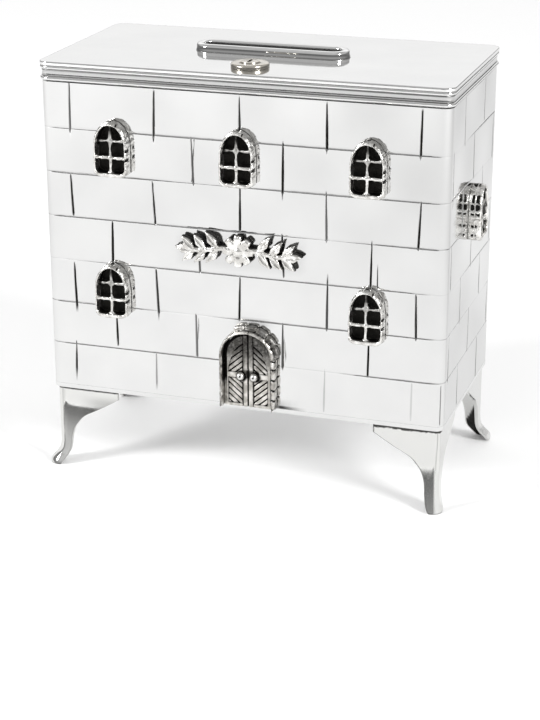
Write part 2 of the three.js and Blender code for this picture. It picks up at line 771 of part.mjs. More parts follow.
// The pair of leaves: stiles, a middle rail and four sunk panels of slanting planks.
function doorLeaves() {
  const halfLeaves = DOOR_WIDTH / 2 - LEAF_GAP;
  const plate = prism(
    archOutline(halfLeaves, 0, DOOR_HEIGHT - LEAF_GAP, DOOR_RISE - LEAF_GAP, 0),
    0,
    LEAF_THICKNESS,
  );
  const top = LEAF_THICKNESS - PANEL_DEPTH;
  const over = LEAF_THICKNESS + OVERRUN;
  const railMiddle = RAIL_HEIGHT_SHARE * DOOR_HEIGHT;
  const rows = [
    { foot: 0, head: railMiddle - RAIL_WIDTH / 2, lean: -1 },
    { foot: railMiddle + RAIL_WIDTH / 2, head: DOOR_HEIGHT, lean: 1 },
  ];
  const cuts = [
    block(
      -MEETING_GROOVE_WIDTH / 2, -OVERRUN, top,
      MEETING_GROOVE_WIDTH, DOOR_HEIGHT + 2 * OVERRUN, over - top,
    ),
  ];
  rows.forEach((row) => {
    [-1, 1].forEach((side) => {
      const inner = doorPanel(side, row, PLANK_GROOVE_MARGIN, 0, over);
      cuts.push(doorPanel(side, row, 0, top, over).add(plankGrooves(inner, -side * row.lean, top)));
    });
  });
  return plate.subtract(joined(cuts));
}

function doorKnob() {
  const ball = new THREE.SphereGeometry(KNOB_RADIUS, 12, 8);
  ball.rotateX(QUARTER_TURN);
  const flat = block(
    -KNOB_RADIUS, -KNOB_RADIUS, KNOB_SINK - 2 * KNOB_RADIUS,
    2 * KNOB_RADIUS, 2 * KNOB_RADIUS, KNOB_RADIUS,
  );
  return solidOf(ball).subtract(flat);
}

addPiece(frontWall, "door_surround", doorSurround(), oxidisedSilver).position.x = DOOR_OFFSET;
addPiece(frontWall, "door_leaves", doorLeaves(), oxidisedSilver).position.x = DOOR_OFFSET;
[-1, 1].forEach((side) => {
  const name = side < 0 ? "door_knob_left" : "door_knob_right";
  const knob = addPiece(frontWall, name, doorKnob(), polishedSilver);
  knob.position.set(
    DOOR_OFFSET + (side * KNOB_SPACING) / 2,
    RAIL_HEIGHT_SHARE * DOOR_HEIGHT,
    LEAF_THICKNESS + KNOB_RADIUS - KNOB_SINK,
  );
});

// Olive spray

// A pointed leaf along +X.
function oliveLeaf() {
  const leaf = new THREE.Shape();
  const belly = LEAF_BELLY_SHARE * LEAF_LENGTH;
  leaf.moveTo(0, 0);
  leaf.quadraticCurveTo(belly, -LEAF_WIDTH, LEAF_LENGTH, 0);
  leaf.quadraticCurveTo(belly, LEAF_WIDTH, 0, 0);
  return prism(leaf.getPoints(LEAF_STEPS * 2), 0, SPRAY_THICKNESS);
}

// The stem's middle line, which waves once towards each tip.
function stemHeight(x) {
  return STEM_WAVE * Math.sin((4 * Math.PI * x) / SPRAY_LENGTH);
}

function oliveSpray() {
  const halfLength = SPRAY_LENGTH / 2;
  const stemEnd = halfLength - LEAF_LENGTH / 2;
  const upper = [];
  const lower = [];
  for (let step = -STEM_STEPS; step <= STEM_STEPS; step += 1) {
    const x = (stemEnd * step) / STEM_STEPS;
    upper.unshift(new THREE.Vector2(x, stemHeight(x) + STEM_WIDTH / 2));
    lower.push(new THREE.Vector2(x, stemHeight(x) - STEM_WIDTH / 2));
  }
  const pieces = [prism([...lower, ...upper], 0, SPRAY_THICKNESS)];
  const leaf = oliveLeaf();
  const pairs = Math.floor((stemEnd - ROSETTE_RADIUS) / LEAF_PITCH);
  [-1, 1].forEach((side) => {
    for (let pair = 0; pair < pairs; pair += 1) {
      const x = side * (ROSETTE_RADIUS + (pair + 1 / 2) * LEAF_PITCH);
      [-1, 1].forEach((above) => {
        const outward = side > 0 ? 0 : Math.PI;
        const matrix = new THREE.Matrix4().makeRotationZ(outward + side * above * LEAF_ANGLE);
        matrix.setPosition(x, stemHeight(x), 0);
        pieces.push(moved(leaf, matrix));
      });
    }
    const tip = new THREE.Matrix4().makeRotationZ(side > 0 ? 0 : Math.PI);
    const tipX = side * (halfLength - LEAF_LENGTH);
    tip.setPosition(tipX, stemHeight(tipX), 0);
    pieces.push(moved(leaf, tip));
  });
  for (let petal = 0; petal < ROSETTE_PETALS; petal += 1) {
    const angle = (2 * Math.PI * petal) / ROSETTE_PETALS;
    const petalRadius = ROSETTE_RADIUS * Math.sin(Math.PI / ROSETTE_PETALS);
    const reach = ROSETTE_RADIUS - petalRadius;
    pieces.push(
      prism(
        arcPoints(
          reach * Math.cos(angle), reach * Math.sin(angle),
          petalRadius, petalRadius, angle - QUARTER_TURN, angle + QUARTER_TURN, LEAF_STEPS * 2,
        ).concat(new THREE.Vector2(0, 0)),
        0,
        SPRAY_THICKNESS,
      ),
    );
  }
  const eye = ROSETTE_EYE_SHARE * ROSETTE_RADIUS;
  const dome = new THREE.SphereGeometry(eye, 12, 8);
  dome.rotateX(QUARTER_TURN);
  dome.translate(0, 0, SPRAY_THICKNESS - eye / 2);
  pieces.push(solidOf(dome));
  return joined(pieces);
}

addPiece(frontWall, "olive_spray", oliveSpray(), polishedSilver).position.y =
  DOOR_HEAD + SPRAY_HEIGHT_SHARE * (UPPER_SILL - DOOR_HEAD);

// Lid

const SLOT_PLAN = roundedRectangle(SLOT_LENGTH, SLOT_WIDTH, SLOT_WIDTH / 2);

// The band: a bead at its foot and its head with a shallow hollow between.
function lidBand() {
  const hollowFoot = LID_BOTTOM + BAND_BEAD;
  const hollowHead = PLATE_BOTTOM - BAND_BEAD;
  const slope = BAND_HOLLOW;
  const body = loft([
    { level: LID_BOTTOM, outline: boxPlan(BAND_PROUD) },
    { level: hollowFoot, outline: boxPlan(BAND_PROUD) },
    { level: hollowFoot + slope, outline: boxPlan(BAND_PROUD - BAND_HOLLOW) },
    { level: hollowHead - slope, outline: boxPlan(BAND_PROUD - BAND_HOLLOW) },
    { level: hollowHead, outline: boxPlan(BAND_PROUD) },
    { level: PLATE_BOTTOM, outline: boxPlan(BAND_PROUD) },
  ]);
  const inside = prism(boxPlan(-WALL_THICKNESS), LID_BOTTOM - OVERRUN, PLATE_BOTTOM + OVERRUN);
  return body.subtract(inside);
}

// The lock's axis lies behind the front wall, on the middle line.
const LOCK_Y = -BOX_DEPTH / 2 + LOCK_FROM_FRONT;

function lidPlate() {
  const plate = loft([
    { level: PLATE_BOTTOM, outline: boxPlan(BAND_PROUD) },
    { level: LID_TOP - LID_EDGE_ROUND, outline: boxPlan(BAND_PROUD) },
    { level: LID_TOP, outline: boxPlan(BAND_PROUD - LID_EDGE_ROUND) },
  ]);
  const slot = prism(SLOT_PLAN, PLATE_BOTTOM - OVERRUN, LID_TOP + OVERRUN);
  const holeRadius = LOCK_BODY_RADIUS + LOCK_HOLE_CLEARANCE;
  const hole = turned([
    [0, PLATE_BOTTOM - OVERRUN],
    [holeRadius, PLATE_BOTTOM - OVERRUN],
    [holeRadius, LID_TOP + OVERRUN],
    [0, LID_TOP + OVERRUN],
  ]);
  return plate.subtract(slot).subtract(hole.translate([0, LOCK_Y, 0]));
}

function lidFlange() {
  const outer = -WALL_THICKNESS - FLANGE_CLEARANCE;
  const foot = LID_BOTTOM - FLANGE_DEPTH;
  const body = prism(boxPlan(outer), foot, PLATE_BOTTOM);
  const inside = prism(boxPlan(outer - FLANGE_THICKNESS), foot - OVERRUN, PLATE_BOTTOM + OVERRUN);
  return body.subtract(inside);
}

function slotCollar() {
  const collarPlan = (shrink) =>
    roundedRectangle(
      SLOT_LENGTH + 2 * (COLLAR_WIDTH - shrink),
      SLOT_WIDTH + 2 * (COLLAR_WIDTH - shrink),
      SLOT_WIDTH / 2 + COLLAR_WIDTH - shrink,
    );
  const top = LID_TOP + COLLAR_HEIGHT;
  const body = loft([
    { level: LID_TOP, outline: collarPlan(0) },
    { level: top - COLLAR_ROUND, outline: collarPlan(0) },
    { level: top - COLLAR_ROUND / 3, outline: collarPlan(COLLAR_ROUND / 3) },
    { level: top, outline: collarPlan(COLLAR_ROUND) },
  ]);
  return body.subtract(prism(SLOT_PLAN, LID_TOP - OVERRUN, top + OVERRUN));
}

addPiece(charityBox, "lid_band", lidBand(), polishedSilver);
addPiece(charityBox, "lid_plate", lidPlate(), polishedSilver);
addPiece(charityBox, "lid_flange", lidFlange(), polishedSilver);
addPiece(charityBox, "slot_collar", slotCollar(), polishedSilver);

// Hinge

const HINGE_Y = BOX_DEPTH / 2 + BAND_PROUD + HINGE_STANDOFF + KNUCKLE_RADIUS;
const HINGE_Z = WALL_TOP + LID_GAP / 2;
const HINGE_LENGTH = KNUCKLE_COUNT * KNUCKLE_LENGTH;

// A rod along X between two distances from the middle of the hinge.
function hingeRod(radius, from, to) {
  const geometry = new THREE.CylinderGeometry(radius, radius, to - from, KNUCKLE_STEPS);
  geometry.rotateZ(QUARTER_TURN);
  geometry.translate((from + to) / 2, HINGE_Y, HINGE_Z);
  return solidOf(geometry);
}

// The knuckles of one leaf: every second barrel, with a web to the leaf that carries it.
function hingeLeaf(firstKnuckle, leafFace, leafFoot, leafHead) {
  const start = -HINGE_LENGTH / 2;
  const pieces = [
    block(
      start, leafFace, leafFoot, HINGE_LENGTH, HINGE_LEAF_THICKNESS, leafHead - leafFoot,
    ),
  ];
  const upwards = leafFoot > HINGE_Z;
  for (let knuckle = firstKnuckle; knuckle < KNUCKLE_COUNT; knuckle += 2) {
    const from = start + knuckle * KNUCKLE_LENGTH + KNUCKLE_GAP / 2;
    const to = from + KNUCKLE_LENGTH - KNUCKLE_GAP;
    pieces.push(hingeRod(KNUCKLE_RADIUS, from, to));
    const webFoot = upwards ? leafFoot : leafHead - HINGE_WEB;
    pieces.push(block(from, leafFace, webFoot, to - from, HINGE_Y - leafFace, HINGE_WEB));
  }
  const bore = hingeRod(
    PIN_RADIUS + PIN_CLEARANCE, start - OVERRUN, HINGE_LENGTH / 2 + OVERRUN,
  );
  return joined(pieces).subtract(bore);
}

// Each leaf stops one knuckle radius from the axis, where its web runs out to the barrel.
const LEAF_EDGE = KNUCKLE_RADIUS - HINGE_WEB / 2;
addPiece(
  charityBox,
  "hinge_box_leaf",
  hingeLeaf(0, BOX_DEPTH / 2, HINGE_Z - LEAF_EDGE - HINGE_LEAF_HEIGHT, HINGE_Z - LEAF_EDGE),
  polishedSilver,
);
addPiece(
  charityBox,
  "hinge_lid_leaf",
  hingeLeaf(
    1, BOX_DEPTH / 2 + BAND_PROUD, HINGE_Z + LEAF_EDGE, HINGE_Z + LEAF_EDGE + LID_LEAF_HEIGHT,
  ),
  polishedSilver,
);

function hingePin() {
  const half = HINGE_LENGTH / 2;
  const heads = [-1, 1].map((side) => {
    const near = side * (half + KNUCKLE_GAP);
    const far = near + side * PIN_HEAD_THICKNESS;
    return hingeRod(PIN_HEAD_RADIUS, Math.min(near, far), Math.max(near, far));
  });
  return joined([hingeRod(PIN_RADIUS, -half - KNUCKLE_GAP, half + KNUCKLE_GAP), ...heads]);
}
addPiece(charityBox, "hinge_pin", hingePin(), polishedSilver);

// Lock

const lock = new THREE.Group();
lock.position.set(0, LOCK_Y, LID_TOP);
charityBox.add(lock);

// Levels in the lock's frame, whose zero is the lid's top: the strike's tab lies under the lid's
// flange, the cam turns in under the tab, and the housing ends just above the cam.
const TAB_FOOT = LID_BOTTOM - FLANGE_DEPTH - STRIKE_CLEARANCE - STRIKE_SHEET - LID_TOP;
const PLUG_FOOT = TAB_FOOT - STRIKE_CLEARANCE;
const LOCK_FOOT = PLUG_FOOT + CAM_CLEARANCE;
// The cam's tip stops short of the strike, and the tab stops short of the housing.
const CAM_REACH = LOCK_FROM_FRONT - WALL_THICKNESS - STRIKE_SHEET - STRIKE_CLEARANCE;
const STRIKE_REACH = LOCK_FROM_FRONT - WALL_THICKNESS - LOCK_BODY_RADIUS - STRIKE_STANDOFF;

// The housing: a flange on the lid and a body through it, bored for the plug.
function lockHousing() {
  const bore = PLUG_RADIUS + PLUG_CLEARANCE;
  return turned([
    [bore, LOCK_FOOT],
    [LOCK_BODY_RADIUS, LOCK_FOOT],
    [LOCK_BODY_RADIUS, 0],
    [LOCK_FLANGE_RADIUS, 0],
    [LOCK_FLANGE_RADIUS, LOCK_FLANGE_THICKNESS - LOCK_FLANGE_ROUND],
    [LOCK_FLANGE_RADIUS - LOCK_FLANGE_ROUND, LOCK_FLANGE_THICKNESS],
    [bore, LOCK_FLANGE_THICKNESS],
    [bore, LOCK_FOOT],
  ]);
}

// A six-sided nut that clamps the housing from inside the lid.
function lockNut() {
  const corner = LOCK_NUT_FLATS / Math.sqrt(3);
  const head = -LID_THICKNESS;
  const foot = head - LOCK_NUT_THICKNESS;
  const body = prism(arcPoints(0, 0, corner, corner, 0, (5 * Math.PI) / 3, 5), foot, head);
  const bore = LOCK_BODY_RADIUS + PLUG_CLEARANCE;
  const hole = turned([
    [0, foot - OVERRUN],
    [bore, foot - OVERRUN],
    [bore, head + OVERRUN],
    [0, head + OVERRUN],
  ]);
  return body.subtract(hole);
}

// The plug: a cylinder with a keyway in its head. Its foot stands out of the housing.
function lockPlug() {
  const head = LOCK_FLANGE_THICKNESS + PLUG_PROUD;
  const body = turned([
    [0, PLUG_FOOT],
    [PLUG_RADIUS, PLUG_FOOT],
    [PLUG_RADIUS, head],
    [0, head],
  ]);
  const keyway = block(
    -KEYWAY_WIDTH / 2, -KEYWAY_LENGTH / 2, head - KEYWAY_DEPTH,
    KEYWAY_WIDTH, KEYWAY_LENGTH, KEYWAY_DEPTH + OVERRUN,
  );
  return body.subtract(keyway);
}

// The cam: a flat arm with round ends under the plug. Unlocked, it points to -X.
function lockCam() {
  const round = CAM_WIDTH / 2;
  const outline = [
    ...arcPoints(0, 0, round, round, -QUARTER_TURN, QUARTER_TURN, CORNER_STEPS * 2),
    ...arcPoints(
      round - CAM_REACH, 0, round, round, QUARTER_TURN, 3 * QUARTER_TURN, CORNER_STEPS * 2,
    ),
  ];
  return prism(outline, PLUG_FOOT - CAM_THICKNESS, PLUG_FOOT);
}

// The screw head that holds the cam, with its slot.
function camScrew() {
  const head = PLUG_FOOT - CAM_THICKNESS;
  const foot = head - CAM_SCREW_HEAD;
  const body = turned([
    [0, foot],
    [CAM_SCREW_RADIUS - CAM_SCREW_SLOT, foot],
    [CAM_SCREW_RADIUS, head - CAM_SCREW_SLOT],
    [CAM_SCREW_RADIUS, head],
    [0, head],
  ]);
  const slot = block(
    -CAM_SCREW_RADIUS, -CAM_SCREW_SLOT / 2, foot - OVERRUN,
    2 * CAM_SCREW_RADIUS, CAM_SCREW_SLOT, CAM_SCREW_SLOT + OVERRUN,
  );
  return body.subtract(slot);
}

addPiece(lock, "lock_housing", lockHousing(), lockSteel);
addPiece(lock, "lock_nut", lockNut(), lockSteel);
addPiece(lock, "lock_plug", lockPlug(), lockSteel);
addPiece(lock, "lock_cam", lockCam(), lockSteel);
addPiece(lock, "cam_screw", camScrew(), lockSteel);

// Strike: a folded sheet on the inner face of the front wall. The cam turns in under its tab.
function strikeBracket() {
  const wallInside = -BOX_DEPTH / 2 + WALL_THICKNESS;
  const tabFoot = LID_TOP + TAB_FOOT;
  const leaf = block(
    -STRIKE_WIDTH / 2, wallInside, tabFoot + STRIKE_SHEET - STRIKE_HEIGHT,
    STRIKE_WIDTH, STRIKE_SHEET, STRIKE_HEIGHT,
  );
  const tab = block(
    -STRIKE_WIDTH / 2, wallInside, tabFoot, STRIKE_WIDTH, STRIKE_REACH, STRIKE_SHEET,
  );
  return leaf.add(tab);
}
addPiece(charityBox, "strike_bracket", strikeBracket(), lockSteel);

export default charityBox;
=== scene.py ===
import math

import bmesh
import bpy
import numpy as np
from mathutils import Matrix, Vector


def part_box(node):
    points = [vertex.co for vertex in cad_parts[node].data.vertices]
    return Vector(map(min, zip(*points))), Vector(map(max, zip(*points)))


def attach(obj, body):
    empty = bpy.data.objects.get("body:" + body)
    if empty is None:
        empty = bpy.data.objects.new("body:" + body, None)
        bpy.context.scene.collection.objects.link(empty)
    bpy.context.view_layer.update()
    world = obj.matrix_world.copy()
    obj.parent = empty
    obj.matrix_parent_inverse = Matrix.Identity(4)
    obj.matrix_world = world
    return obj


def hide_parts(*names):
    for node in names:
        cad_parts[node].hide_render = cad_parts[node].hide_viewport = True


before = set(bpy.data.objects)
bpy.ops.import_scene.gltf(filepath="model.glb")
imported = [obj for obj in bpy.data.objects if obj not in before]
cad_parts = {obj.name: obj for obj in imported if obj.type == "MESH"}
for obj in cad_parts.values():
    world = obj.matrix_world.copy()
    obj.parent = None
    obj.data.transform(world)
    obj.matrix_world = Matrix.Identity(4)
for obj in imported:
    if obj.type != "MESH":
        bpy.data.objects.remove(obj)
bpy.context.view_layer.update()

MM = 0.001

# The studio, in metres: a white table that ends a little in front of the box, a dark room beyond it,
# soft lights overhead, behind and at both sides of the front, and the camera, whose place was worked
# out from the crossings of the engraved joints.
CAMERA_PLACE = (0.15438, -0.47209, 0.21459)
AZIMUTH, ELEVATION, ROLL = (math.radians(angle) for angle in (18.22, 20.67, -0.19))
TABLE_SIDE, TABLE_FRONT, TABLE_BACK = 3.0, -1.2, 4.0


def in_scene(name, data):
    """A new object in the scene, at the origin."""
    made = bpy.data.objects.new(name, data)
    bpy.context.scene.collection.objects.link(made)
    return made


camera_data = bpy.data.cameras.new("camera")
camera_data.lens = 94.8
camera_data.sensor_width = 36.0
camera_data.clip_start = 0.01
camera_data.clip_end = 20.0
camera = in_scene("camera", camera_data)
camera.matrix_world = (
    Matrix.Translation(CAMERA_PLACE)
    @ Matrix.Rotation(AZIMUTH, 4, "Z")
    @ Matrix.Rotation(math.pi / 2 - ELEVATION, 4, "X")
    @ Matrix.Rotation(ROLL, 4, "Z")
)
bpy.context.scene.camera = camera
bpy.context.scene.view_settings.view_transform = "Standard"


def linear(code):
    """A colour from its sRGB hex code, for a shader socket."""
    levels = [int(code[i:i + 2], 16) / 255 for i in (1, 3, 5)]
    straight = [v / 12.92 if v <= 0.04045 else ((v + 0.055) / 1.055) ** 2.4 for v in levels]
    return (*straight, 1.0)


def add(tree, kind, inputs=None, **settings):
    """Adds one node with its settings, and its inputs as constants or as links from other nodes. A
    Mix node's sockets go by number: 0 is the share, 2 and 3 are its numbers, and 6 and 7 its colours."""
    made = tree.nodes.new(kind)
    for name, value in settings.items():
        setattr(made, name, value)
    for key, value in (inputs or {}).items():
        if isinstance(value, bpy.types.NodeSocket):
            tree.links.new(value, made.inputs[key])
        else:
            made.inputs[key].default_value = value
    return made


def empty_material(name):
    """A new material without nodes, and its node tree."""
    made = bpy.data.materials.new(name)
    made.use_nodes = True
    made.node_tree.nodes.clear()
    return made, made.node_tree


def light(name, place, target, width, height, watts):
    """A rectangular soft light that faces a point."""
    lamp = bpy.data.lights.new(name, "AREA")
    lamp.shape = "RECTANGLE"
    lamp.size = width
    lamp.size_y = height
    lamp.energy = watts
    facing = Vector(target) - Vector(place)
    made = in_scene(name, lamp)
    made.matrix_world = Matrix.Translation(place) @ facing.to_track_quat("-Z", "Y").to_matrix().to_4x4()


light("light_overhead", (0.0, -0.15, 1.5), (0.0, -0.1, 0.0), 1.0, 1.0, 0.8)
light("light_left", (-1.0, -0.88, 0.7), (0.0, 0.0, 0.03), 0.34, 0.34, 14.0)
light("light_right", (1.15, -0.55, 0.66), (0.0, 0.0, 0.03), 0.34, 0.34, 14.0)
light("light_behind", (-0.5, 1.6, 0.85), (-0.05, 0.1, 0.1), 2.2, 1.2, 6.0)

# The room is grey at the horizon and paler above, so faces that lean back mirror a darker tone.
room = bpy.data.worlds.new("room")
bpy.context.scene.world = room
room.use_nodes = True
tree = room.node_tree
tree.nodes.clear()
direction = add(tree, "ShaderNodeTexCoord").outputs["Generated"]
up = add(tree, "ShaderNodeSeparateXYZ", {0: direction}).outputs["Z"]
rise = add(tree, "ShaderNodeMapRange", {0: up, 1: 0.0, 2: 0.5, 3: 0.0, 4: 1.0}).outputs[0]
low_room = add(tree, "ShaderNodeMix", {0: rise, 6: linear("#767676"), 7: linear("#ebebeb")},
               data_type="RGBA")
overhead = add(tree, "ShaderNodeMapRange", {0: up, 1: 0.55, 2: 0.85, 3: 0.0, 4: 1.0}).outputs[0]
whole_room = add(tree, "ShaderNodeMix", {0: overhead, 6: low_room.outputs[2], 7: linear("#cccccc")},
                 data_type="RGBA")
background = add(tree, "ShaderNodeBackground", {"Color": whole_room.outputs[2], "Strength": 0.86})
add(tree, "ShaderNodeOutputWorld", {"Surface": background.outputs[0]})

# White translucent acrylic, lit from below as well, so that the shadows on it stay light.
acrylic, tree = empty_material("white translucent acrylic, lit from below")
lit = add(tree, "ShaderNodeBsdfDiffuse", {"Color": linear("#f4f4f4")})
glow = add(tree, "ShaderNodeEmission", {"Color": (1.0, 1.0, 1.0, 1.0), "Strength": 0.09})
both = add(tree, "ShaderNodeAddShader", {0: lit.outputs[0], 1: glow.outputs[0]})
add(tree, "ShaderNodeOutputMaterial", {"Surface": both.outputs[0]})
table_mesh = bpy.data.meshes.new("table")
table_mesh.from_pydata([
    (-TABLE_SIDE, TABLE_FRONT, 0.0), (TABLE_SIDE, TABLE_FRONT, 0.0),
    (TABLE_SIDE, TABLE_BACK, 0.0), (-TABLE_SIDE, TABLE_BACK, 0.0),
], [], [(0, 1, 2, 3)])
table_mesh.materials.append(acrylic)
table = in_scene("table", table_mesh)

# The feet: four brackets of 1 mm sterling silver sheet, each folded to a right angle, pierced to a
# curved leg, splayed at the toe by hand, polished, and soldered under the base plate.
WIDTH, DEPTH = 110.0, 55.0
SETBACK = 0.85
FOOT_HEIGHT = 23.2
SHEET = 1.0
WING, WING_END = 18.0, 2.5
# How far down the splay or the leg a level is, as a share, and the share of the toe's splay or of
# the wing's width that it has there.
TOE_SHARES = [
    (0.0, 0.0), (0.3, 0.035), (0.48, 0.15), (0.64, 0.44), (0.78, 0.8), (0.9, 0.98), (1.0, 0.96),
]
CURVE_SHARES = [
    (0.0, 1.0), (0.153, 0.63), (0.277, 0.3), (0.39, 0.145), (0.47, 0.07), (0.6, 0.015), (0.72, 0.0),
]
# Where the fold starts and ends among the points of a foot's level section, and the inner face starts.
FOLD_START, FOLD_END, INNER_FACE = 15, 27, 36


def flowing(points, count):
    """Points at even steps along a smooth line through the given ones."""
    given = np.array(points, float)
    padded = np.vstack([2 * given[0] - given[1], given, 2 * given[-1] - given[-2]])
    out = []
    for at in np.linspace(0, len(given) - 1, count):
        i = min(int(at), len(given) - 2)
        t = at - i
        a, b, c, d = padded[i:i + 4]
        out.append(0.5 * (2 * b + (c - a) * t + (2 * a - 5 * b + 4 * c - d) * t * t
                          + (3 * b - 3 * c + d - a) * t ** 3))
    return np.array(out)


def arc(centre, radius, start, end, steps):
    """Points on a circular arc, with angles in degrees."""
    angles = np.radians(np.linspace(start, end, steps + 1))
    return np.stack([centre[0] + radius * np.cos(angles), centre[1] + radius * np.sin(angles)], 1)


def at_level(outline, level):
    """A flat outline at a level, or a path at an even distance from a wall."""
    return np.column_stack([outline, np.full(len(outline), level)])


def tube(rings, joined=False):
    """The points and faces of a skin over rings of points. Either the last ring is joined to the
    first, or both end rings are filled."""
    rings = np.array(rings, float)
    number, count, _ = rings.shape
    faces = []
    for ring in range(number if joined else number - 1):
        here, there = ring * count, (ring + 1) % number * count
        for i in range(count):
            j = (i + 1) % count
            faces.append((here + i, here + j, there + j, there + i))
    if not joined:
        faces.append(tuple(reversed(range(count))))
        faces.append(tuple((number - 1) * count + i for i in range(count)))
    return rings.reshape(-1, 3), faces


def closed_mesh(name, points, faces):
    """A mesh whose faces are turned outwards."""
    mesh = bpy.data.meshes.new(name)
    mesh.from_pydata(points.tolist(), [], faces)
    shape = bmesh.new()
    shape.from_mesh(mesh)
    bmesh.ops.recalc_face_normals(shape, faces=shape.faces)
    shape.to_mesh(mesh)
    shape.free()
    return mesh


def put(name, body, slot, material, points, faces, stands_for, smooth=40.0, levels=None):
    """Makes a piece from millimetres and puts it on a CAD body, in the place of the CAD nodes that it
    stands for. Its material reads the named levels, which have a number for each point."""
    mesh = closed_mesh(name, points * MM, faces)
    for label, values in (levels or {}).items():
        channel = mesh.attributes.new(label, "FLOAT", "POINT")
        channel.data.foreach_set("value", np.asarray(values, np.float32))
    mesh.materials.append(material)
    mesh.shade_smooth()
    if smooth < 180:
        mesh.set_sharp_from_angle(angle=math.radians(smooth))
    made = in_scene(name, mesh)
    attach(made, body)
    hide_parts(*stands_for)
    return made


def silver_sheet(name, polish="#dfdfde", roughness=0.045, seam_at=None, ragged_by=0.0016):
    """Mirror-polished sterling sheet. It is nearly white, with faint cloudiness from the buff and a
    slightly wavy face from hand work. A level blackens it, with real black on some pieces and painted
    shade on others, and one named dull leaves it matt from the pickle, as inside. Above a height, a
    black band with a ragged edge stands for a solder seam together with painted shade under the plate."""
    made, tree = empty_material(name)
    place = add(tree, "ShaderNodeTexCoord").outputs["Object"]
    cloud = add(tree, "ShaderNodeTexNoise", {"Vector": place, "Scale": 70.0, "Detail": 3.0})
    fine = add(tree, "ShaderNodeTexNoise", {"Vector": place, "Scale": 900.0, "Detail": 2.0})
    tone = add(tree, "ShaderNodeMix", {0: cloud.outputs["Fac"], 6: linear(polish), 7: linear("#d2d2d2")},
               data_type="RGBA")
    soot = add(tree, "ShaderNodeAttribute", attribute_name="soot").outputs["Fac"]
    # Above a height, a black band with a ragged edge: a solder seam and the painted shade under the plate.
    if seam_at:
        height = add(tree, "ShaderNodeSeparateXYZ", {0: place}).outputs["Z"]
        ragged = add(tree, "ShaderNodeTexNoise", {
            "Vector": place, "Scale": 260.0, "Detail": 6.0, "Roughness": 0.7})
        edge = add(tree, "ShaderNodeMath", {
            0: ragged.outputs["Fac"], 1: -ragged_by, 2: seam_at * MM + ragged_by / 2,
        }, operation="MULTIPLY_ADD").outputs[0]
        above = add(tree, "ShaderNodeMath", {0: height, 1: edge}, operation="SUBTRACT").outputs[0]
        seam = add(tree, "ShaderNodeMapRange", {0: above, 1: -0.0001, 2: 0.0002, 3: 0.0, 4: 0.92}).outputs[0]
        soot = add(tree, "ShaderNodeMath", {0: soot, 1: seam}, operation="MAXIMUM").outputs[0]
    colour = add(tree, "ShaderNodeMix", {0: soot, 6: tone.outputs[2], 7: linear("#1a1917")}, data_type="RGBA")
    shine = add(tree, "ShaderNodeMapRange",
                {0: fine.outputs["Fac"], 1: 0.3, 2: 0.7, 3: roughness, 4: roughness + 0.05}).outputs[0]
    dull = add(tree, "ShaderNodeAttribute", attribute_name="dull").outputs["Fac"]
    matt = add(tree, "ShaderNodeMix", {0: dull, 2: shine, 3: 0.38}).outputs[0]
    sooty = add(tree, "ShaderNodeMapRange", {0: soot, 1: 0.2, 2: 0.8, 3: 0.0, 4: 1.0}).outputs[0]
    rough = add(tree, "ShaderNodeMix", {0: sooty, 2: matt, 3: 0.5}).outputs[0]
    wave = add(tree, "ShaderNodeTexNoise", {"Vector": place, "Scale": 45.0, "Detail": 1.0})
    bump = add(tree, "ShaderNodeBump", {"Height": wave.outputs["Fac"], "Distance": 0.00025, "Strength": 0.5})
    surface = add(tree, "ShaderNodeBsdfPrincipled", {
        "Base Color": colour.outputs[2], "Roughness": rough, "Metallic": 1.0, "Normal": bump.outputs[0]})
    add(tree, "ShaderNodeOutputMaterial", {"Surface": surface.outputs[0]})
    return made


def foot_rings(leg_width, toe_width, splay_x, splay_y, splay_from, tongue_from, tongue_end):
    """Level sections of one foot, whose ridge points to +X -Y, from the floor up. The lowest part of
    the toe is rounded to a tongue."""
    curve_top = FOOT_HEIGHT - WING_END
    close_from = 2.4
    ease = 0.22
    curve, toe = flowing(CURVE_SHARES, 60), flowing(TOE_SHARES, 60)
    levels = np.concatenate([
        np.linspace(FOOT_HEIGHT, curve_top, 8)[:-1], np.linspace(curve_top, close_from, 70)[:-1],
        close_from * (1 - np.sin(np.linspace(0, math.pi / 2, 11))),
    ])
    rings = []
    for level in levels:
        wide = np.interp(1 - level / curve_top, curve[:, 0], curve[:, 1]) if level < curve_top else 1.0
        arm = leg_width + (WING - leg_width) * max(0.0, wide)
        flare = np.interp(1 - level / splay_from, toe[:, 0], toe[:, 1])
        tongue = 1.0
        if level < tongue_from:
            tongue = tongue_end + (1 - tongue_end) * math.sqrt(max(0.0, 1 - (1 - level / tongue_from) ** 2))
        arm = (arm + (toe_width - leg_width) * flare) * tongue
        outer_x = WIDTH / 2 - SETBACK + splay_x * flare
        outer_y = -(DEPTH / 2 - SETBACK + splay_y * flare)
        radius = SHEET + 0.6 + 1.0 * flare
        bend = (outer_x - radius, outer_y + radius)
        free_x, free_y = outer_x - arm + ease, outer_y + arm - ease
        near_fold = [(free_x + 0.3, outer_y)]
        near_fold += [(free_x + (bend[0] - free_x) * v, outer_y) for v in (0.3, 0.5, 0.66, 0.78, 0.87, 0.94)]
        outline = np.vstack([
            arc((free_x, outer_y + SHEET - ease), ease, 90, 180, 3),
            arc((free_x, outer_y + ease), ease, 180, 270, 3),
            near_fold,
            arc(bend, radius, 270, 360, FOLD_END - FOLD_START),
            arc((outer_x - ease, free_y), ease, 0, 90, 3),
            arc((outer_x - SHEET + ease, free_y), ease, 90, 180, 3),
            arc(bend, radius - SHEET, 360, 270, 8),
            [(x, outer_y + SHEET) for x, _ in near_fold[::-1]],
        ])
        rings.append(at_level(outline, level))
    return np.array(rings[::-1])


def fade(value, start, end):
    """A smooth step from 0 at the start to 1 at the end."""
    t = np.clip((value - start) / (end - start), 0, 1)
    return t * t * (3 - 2 * t)
